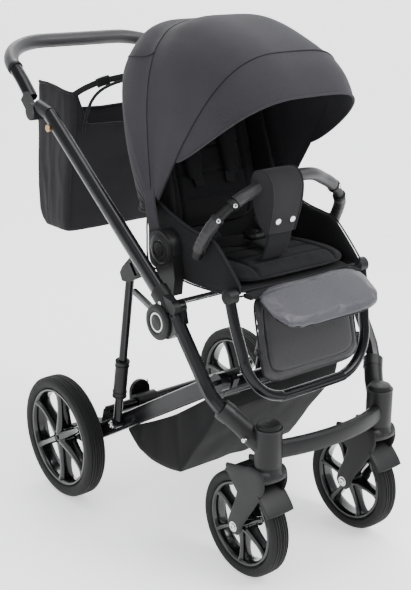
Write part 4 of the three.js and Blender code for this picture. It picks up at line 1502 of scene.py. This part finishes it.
# ---------------------------------------------------------------- bumper bar
@dataclass
class Bumper(SubAssembly):
    """The bumper bar with leatherette sleeves, cloth cover and snaps."""

    radius: float = 12.4
    half: tuple[Point, ...] = ((-184, -240, 659), (-184, -256, 690), (-173, -279, 732), (-134, -296, 771),
                               (-91, -306, 794), (-49, -320, 810))
    cover: tuple[tuple[float, float], ...] = ((-288, 808), (-296, 826), (-314, 834), (-332, 832),
                                              (-346, 819),
                                              (-353, 800), (-352, 770), (-345, 738), (-336, 706))

    def build(self) -> None:
        """Build the bar, sleeves, joints, cover and snaps."""
        path = smooth_line([*self.half, (0, -324, 814), *[(-x, y, z) for x, y, z in reversed(self.half)]],
                           14)
        Piece(sweep("bumper_tube", path, self.radius - 1.8, sides=24), "bumper", Finish.SOCKET, "plastic",
              ["bumper_bar"])
        top = path[path[:, 2] > 773]
        Piece(sweep("bumper_sleeve", top, self.radius + 0.6, sides=32, rounded=2), "bumper", Finish.GRIP,
              "grip")
        seam = [p + np.array((0, 0.75, -0.66)) * (self.radius + 0.8) for p in top]
        Piece(sweep("bumper_sleeve_seam", seam, 0.9, sides=8), "bumper", Finish.PIPING, "grip")
        for side, sign in SIDES:
            arm = path[(np.sign(path[:, 0]) == sign) & (path[:, 2] > 672) & (path[:, 2] < 738)]
            Piece(sweep(f"bumper_boot_{side}", arm, self.radius + 0.4, sides=32, rounded=2.5,
                        scale=lambda t: 1 + 0.035 * math.sin(t * 40)), "bumper", Finish.BOOT, "grip")
            near = path[np.sign(path[:, 0]) == sign]
            for number, height in enumerate((742, 769)):
                at = int(np.abs(near[:, 2] - height).argmin())
                way = near[at + 1] - near[at - 1]
                way /= np.linalg.norm(way)
                collar = [(self.radius - 3, -6), (self.radius + 0.6, -5.6), (self.radius + 1.9, -3.5),
                          (self.radius + 1.9, 3.5), (self.radius + 0.6, 5.6), (self.radius - 3, 6)]
                Piece(turned(f"bumper_joint_{side}_{number}", collar, near[at], axis=way, closed=True),
                      "bumper",
                      Finish.PLASTIC, "plastic")
                out = np.array((sign * 0.72, -0.62, -0.3))
                out -= way * np.dot(out, way)
                out /= np.linalg.norm(out)
                Piece(turned(f"bumper_screw_{side}_{number}", SCREW, near[at] + out * (self.radius + 1.6),
                             axis=out, sides=24), "bumper", Finish.STEEL, "frame")
        self.strap()

    def strap(self) -> None:
        """The cloth cover over the bar, its edging and snaps, and the strap to the seat."""
        front = smooth_line([(0, y, z) for y, z in self.cover], 8)
        rear = smooth_line([(0, y, z) for y, z in ((-288, 808), (-289, 784), (-295, 752), (-308, 724),
                                                   (-326, 706), (-336, 706))], 8)
        loop = np.concatenate([front, rear[::-1][1:-1]])
        middle = loop.mean(0)
        rows = []
        for u in np.linspace(-1, 1, 45):
            pull = 1 - 0.045 * abs(u) ** 4
            rows.append([(-45 + u * 43 * (0.84 + 0.16 * (p[2] - 706) / 120),
                          middle[1] + (p[1] - middle[1]) * pull,
                          middle[2] + (p[2] - middle[2]) * pull) for p in loop])
        made = make_mesh("bumper_wrap", np.array(rows).reshape(-1, 3), ring_faces(len(rows), len(loop)),
                         sharp=70)
        Piece(made, "bumper", Finish.BAG, "canopy_fabric", ["bumper_cover"])
        for name, row in (("right", rows[1]), ("left", rows[-2])):
            Piece(sweep(f"wrap_edging_{name}", np.array(row), 2.1, sides=10, closed=True), "bumper",
                  Finish.PIPING,
                  "canopy_fabric")
        for number, x in enumerate((-64, -26)):
            Piece(turned(f"wrap_snap_{number}", [(0.01, 1.6), (2.6, 1.4), (4.2, 1.9), (6.4, 1.3),
                                                 (7, -1.5)],
                         (x, -345.5, 733), axis=(0, -0.97, -0.24), sides=36), "bumper", Finish.STEEL,
                  "frame")
        line = smooth_line([(-45, -331, 716), (-45, -329, 700), (-45, -322, 676), (-45, -308, 652),
                            (-45, -290, 642)], 10)
        made = sweep("crotch_strap", line, 31, 3.2, sides=36, power=6, twist=True)
        Piece(made, "chassis", Finish.SEAT, "dark_fabric",
              blend=("bumper", (-45, -300, 650), (-45, -331, 710)))


# ---------------------------------------------------------------- footrest
@dataclass
class Footrest(SubAssembly):
    """The U tube, calf panel and foot pad."""

    y: float = -340
    z: float = 600
    half: float = 170
    bottom: tuple[float, float] = (-392, 384)
    corner: float = 100

    def build(self) -> None:
        """Build the frame, panel and pad."""
        top = [(-182, self.y, self.z), (-178, -354, 540)]
        by, bz = self.bottom
        for step in range(9):
            t = step / 8 * math.pi / 2
            z = bz + self.corner * (1 - math.sin(t))
            y = by + (-354 - by) * (z - bz) / (540 - bz)
            top.append((-self.half + self.corner * (1 - math.cos(t)), y, z))
        path = smooth_line(top + [(-x, y, z) for x, y, z in reversed(top)], 6)
        Piece(sweep("footrest_tube", path, 11.2, sides=26), "footrest", Finish.FRAME, "frame",
              ["footrest_frame"])
        for side, sign in SIDES:
            axle = [(sign * x, self.y, self.z) for x in (169, 176, 183, 190)]
            Piece(sweep(f"footrest_knuckle_{side}", axle, 15.5, sides=40, side=(0, 0, 1), rounded=4.0),
                  "footrest",
                  Finish.PLASTIC, "plastic")
        tilt = math.radians(13)
        panel = Plane((0, -349 - math.sin(tilt) * 94, 600 - math.cos(tilt) * 94),
                      (0, math.sin(tilt), math.cos(tilt)), (0, -math.cos(tilt), math.sin(tilt)))
        made = pad("calf_pad", 133, 92, 10, panel, corner=7, edge=7, cells=56, back=0.7, puff=4,
                   seams=lambda a, b: 4.5 * math.exp(-((superradius(a, b, 116, 75, 7) - 1) / 0.03) ** 2))
        Piece(made, "footrest", Finish.CALF, "leatherette", ["calf_panel"])
        for number, (wide, long) in enumerate(((133, 92), (116, 75))):
            rim = outline_ring(wide, long, 7, panel, 0.0 if not number else 5.6)
            Piece(sweep(f"calf_piping_{number}", rim, 1.9 - 0.5 * number, sides=10, closed=True),
                  "footrest",
                  Finish.PIPING, "leatherette")
        plane = Plane.between((-364, 607), (-454, 551), -1)

        def narrow(b: float) -> float:
            """The pad's front corners are rounded off."""
            return 1 - 0.13 * max(0.0, (b + 0.2) / 1.2) ** 2
        made = pad("foot_pad", 142, 56, 13, plane, corner=4, edge=7, cells=64, back=0.55, puff=5,
                   shape=narrow,
                   seams=lambda a, b: 2.2 * math.exp(-((b + 40) / 3) ** 2))
        Piece(made, "footrest", Finish.PAD, "leatherette", ["footrest_pad"])
        Piece(sweep("foot_pad_piping", outline_ring(142, 56, 4, plane, shape=narrow), 1.9, sides=10,
                    closed=True),
              "footrest", Finish.PIPING, "leatherette")


def superradius(a: float, b: float, wide: float, long: float, power: float) -> float:
    """How far out a point lies, 1 on the superellipse."""
    return (abs(a / wide) ** power + abs(b / long) ** power) ** (1 / power)


# ---------------------------------------------------------------- bags
@dataclass
class Bags(SubAssembly):
    """The zipped bag behind the seat and the basket under it."""

    side: tuple[tuple[float, float], ...] = ((203, 866), (232, 772), (262, 604), (300, 596), (366, 598),
                                             (393, 640),
                                             (381, 852), (330, 876))

    def build(self) -> None:
        """Build both."""
        self.bag()
        self.basket()

    def bag(self) -> None:
        """A soft open bag with rounded corners, hanging folds and a bound mouth."""
        levels = np.linspace(0, 1, 60)
        around = np.linspace(0, 2 * np.pi, 160, endpoint=False)

        def wall(level: float, angle: float, inset: float) -> np.ndarray:
            """A point of the bag's wall or floor."""
            c, s = math.cos(angle), math.sin(angle)
            k = 1 / (abs(c) ** 11 + abs(s) ** 11) ** (1 / 11)
            rise = max(0.0, (level - 0.18) / 0.82)
            front_side = smooth_step(abs(s * k), 0.8, 0.98) * (1 - smooth_step(abs(c * k), 0.8, 0.97))
            top = (946 - 14 * smooth_step(-s * k, -0.5, 1.0) - 72 * front_side
                   - 6 * front_side * (1 - abs(c * k)))
            z = 602 + (top - 602) * rise
            front = np.interp(z, (596, 640, 772, 866, 950), (266, 256, 232, 206, 201))
            rear = np.interp(z, (596, 620, 640, 740, 852, 950), (368, 386, 392, 390, 382, 368))
            grow = min(1.0, level / 0.18) ** 0.6 if level < 0.18 else 1.0
            shrink = 1 - 0.05 * math.exp(-rise * 14)
            fold = (noise_at(c * 2.2, s * 2.2, rise * 2.6) * 3.2
                    + noise_at(c * 5, s * 5, rise * 5) * 1.3) * shrink
            wide = (185.5 - inset) * grow * shrink
            deep = ((rear - front) / 2 - inset) * grow * shrink
            x, y = c * k * (wide - abs(fold)), (front + rear) / 2 + s * k * (deep - abs(fold) * 0.8)
            return np.array((x, y, z if level >= 0.18 else 598 + inset + 4 * grow ** 6))
        outer = np.array([[wall(l, a, 0) for a in (*around, around[0])] for l in levels])
        inner = np.array([[wall(l, a, 2.6) for a in (*around, around[0])] for l in levels])
        made = sheet_mesh("storage_bag", outer[:, ::-1], inner[:, ::-1], lining=True)
        flat = dict(joint="frame_fold", axis=(0, 0.42, 0.91), anchor=(0, 0.27, 0.89), keep=0.5)
        Piece(made, "upper_frame", Finish.BAG, "bag_fabric", ["carry_bag"], Finish.LINING, squash=flat)
        mouth = np.array([wall(1.0, a, 1.2) for a in around])
        for number, turn in enumerate((3.93, 5.5)):
            seam = np.array([wall(l, turn, -0.4) for l in np.linspace(0.2, 0.98, 50)])
            Piece(sweep(f"bag_corner_seam_{number}", seam, 1.5, sides=8), "upper_frame", Finish.WEBBING,
                  "bag_fabric", squash=flat)
        strap = smooth_line([(-183, 205, 930), (-150, 204, 944), (-100, 203, 956), (0, 203, 964),
                             (100, 203, 956),
                             (150, 204, 944), (183, 205, 930)], 10)
        Piece(sweep("bag_strap", strap, 1.6, 7, sides=16, power=5, side=(0, -1, 0)), "upper_frame",
              Finish.WEBBING,
              "bag_fabric", squash=flat)
        buckle = smooth_line([(-122, 202, 951), (-108, 202, 955), (-90, 202, 958)], 4)
        Piece(sweep("bag_strap_buckle", buckle, 3.6, 10.5, sides=20, power=5, side=(0, -1, 0)),
              "upper_frame",
              Finish.PLASTIC, "plastic", squash=flat)
        loop = smooth_line([(-160, 205, 846), (-154, 202, 880), (-138, 200, 915), (-110, 199, 938),
                            (-60, 199, 952), (0, 199, 955), (60, 199, 952), (110, 199, 938),
                            (138, 200, 915),
                            (154, 202, 880), (160, 205, 846)], 8)
        Piece(sweep("bag_loop", loop, 3.6, sides=14), "upper_frame", Finish.WEBBING, "bag_fabric",
              squash=flat)
        Piece(sweep("bag_binding", mouth, 3.4, sides=12, closed=True), "upper_frame", Finish.WEBBING,
              "bag_fabric",
              squash=flat)

    def basket(self) -> None:
        """A cloth tray hung between the legs and the rear bar."""
        line = smooth_line([(-296, 366), (-292, 342), (-282, 322), (-216, 230), (-160, 152), (-140, 139),
                            (-60, 126),
                            (-10, 134), (12, 146), (36, 172)], 6)
        columns = np.linspace(-1, 1, 81)

        def surface(u: float, p: np.ndarray, inset: float) -> np.ndarray:
            """A point of the tray or of its raised sides."""
            raised = max(0.0, (abs(u) - 0.86) / 0.14)
            dip = 3 * (1 - u * u) + noise_at(u * 4, p[0] * 0.014, p[1] * 0.014) * 5
            t = (p[0] + 296) / 332
            top = 382 + (184 - 382) * t - 7 * math.sin(math.pi * t) ** 2
            z = p[1] - dip + inset
            pleat = 2.5 * raised * math.sin(p[0] * 0.09 + 2 * noise_at(p[0] * 0.02, raised * 3, 2.2))
            wide = 168 + 4 * raised - inset * (raised > 0) + min(0.0, pleat)
            return np.array((np.sign(u) * min(abs(u) * 190, wide), p[0],
                             z + (top - z) * raised ** 1.5 * 0.96))
        outer = np.array([[surface(u, p, 0) for u in columns] for p in line])
        inner = np.array([[surface(u, p, 2.4) for u in columns] for p in line])
        made = sheet_mesh("cloth_basket", outer, inner)
        Piece(made, "chassis", Finish.BASKET, "dark_fabric", ["basket"])


# ---------------------------------------------------------------- studio
@dataclass
class Studio:
    """Floor, lights and camera.

    Args:
        position: Camera place in metres.
        forward: Viewing direction.
        up: The camera's up direction.
        roll: Extra roll in degrees.
        lens: Focal length in millimetres on a 36 mm film.
        shift: Lens shift.
        glow: Brightness that the floor adds.
        sky: Strength of the world.
    """

    position: Point = (-1.4629, -1.8819, 1.2622)
    forward: Point = (0.5927, 0.7438, -0.3088)
    up: Point = (0.1925, 0.2415, 0.9511)
    roll: float = 0.10
    lens: float = 66.48
    shift: tuple[float, float] = (-0.00485, -0.00597)
    glow: float = 0.75
    sky: float = 0.8

    def build(self) -> None:
        """Build the studio."""
        self.floor()
        self.lights()
        self.camera()

    def floor(self) -> None:
        """A plain pale sweep."""
        rows = [(y, 0.0) for y in np.linspace(-4000, 1500, 12)]
        rows += [(1500 + 1400 * math.sin(a), 1400 * (1 - math.cos(a)))
                 for a in np.linspace(0.1, math.pi / 2, 16)]
        rows.append((2900, 5000))
        turn = Matrix.Rotation(math.radians(-38.5), 3, "Z")
        points = [turn @ Vector((x, y, z - 0.6)) for y, z in rows for x in (-6000, 6000)]
        faces = [(2 * i, 2 * i + 1, 2 * i + 3, 2 * i + 2) for i in range(len(rows) - 1)]
        ground = make_mesh("studio_floor", points, faces, sharp=80)
        g = Graph("pale_floor")
        g.feed("Base Color", (0.97, 0.97, 0.97, 1))
        g.feed("Roughness", 0.9 + (g.noise(300, 2) - 0.5) * 0.06)
        g.feed("Specular IOR Level", 0.1)
        g.feed("Emission Color", (1, 1, 1, 1))
        g.feed("Emission Strength", self.glow)
        ground.data.materials.append(g.material)

    def lights(self) -> None:
        """Soft boxes and an even world."""
        world = bpy.data.worlds.new("studio_world")
        bpy.context.scene.world = world
        world.use_nodes = True
        world.node_tree.nodes["Background"].inputs[0].default_value = (0.95, 0.97, 1.0, 1)
        world.node_tree.nodes["Background"].inputs[1].default_value = self.sky
        for name, place, size, power in (("key", (1.3, -2.8, 3.1), 2.2, 130),
                                         ("fill", (-2.8, -0.9, 2.0), 2.6, 34),
                                         ("rim", (1.2, 2.6, 3.2), 1.8, 60),
                                         ("top", (0.2, -0.5, 3.8), 2.4, 75)):
            data = bpy.data.lights.new(name, "AREA")
            data.shape = "DISK"
            data.size = size
            data.energy = power
            lamp = bpy.data.objects.new(name, data)
            lamp.location = place
            aim = Vector((0, 0, 0.5)) - Vector(place)
            lamp.rotation_euler = aim.to_track_quat("-Z", "Y").to_euler()
            bpy.context.scene.collection.objects.link(lamp)

    def camera(self) -> None:
        """A viewpoint in front and to the right."""
        data = bpy.data.cameras.new("camera")
        data.lens = self.lens
        data.sensor_width = 36
        data.sensor_fit = "AUTO"
        data.shift_x, data.shift_y = self.shift
        made = bpy.data.objects.new("camera", data)
        forward, up = Vector(self.forward).normalized(), Vector(self.up).normalized()
        right = forward.cross(up).normalized()
        up = right.cross(forward)
        turn = Matrix((right, up, -forward)).transposed()
        turn = turn @ Matrix.Rotation(math.radians(self.roll), 3, "Z")
        made.matrix_world = Matrix.Translation(self.position) @ turn.to_4x4()
        bpy.context.scene.collection.objects.link(made)
        bpy.context.scene.camera = made


def main() -> None:
    """Build every group."""
    logging.basicConfig(level=logging.INFO, format="%(message)s")
    groups = (Wheel("rear", 145, 116, 48, 268.7, 160, 21, 15),
              Wheel("front", 114.4, 90, 44, 157.6, -369.3, 17, 13.5),
              Chassis(), UpperFrame(), PushHandle(), RearFrame(), SeatUnit(), Canopy(), Bumper(),
              Footrest(), Bags())
    for group in groups:
        group.build()
    Studio().build()


if __name__ == "__main__":
    main()
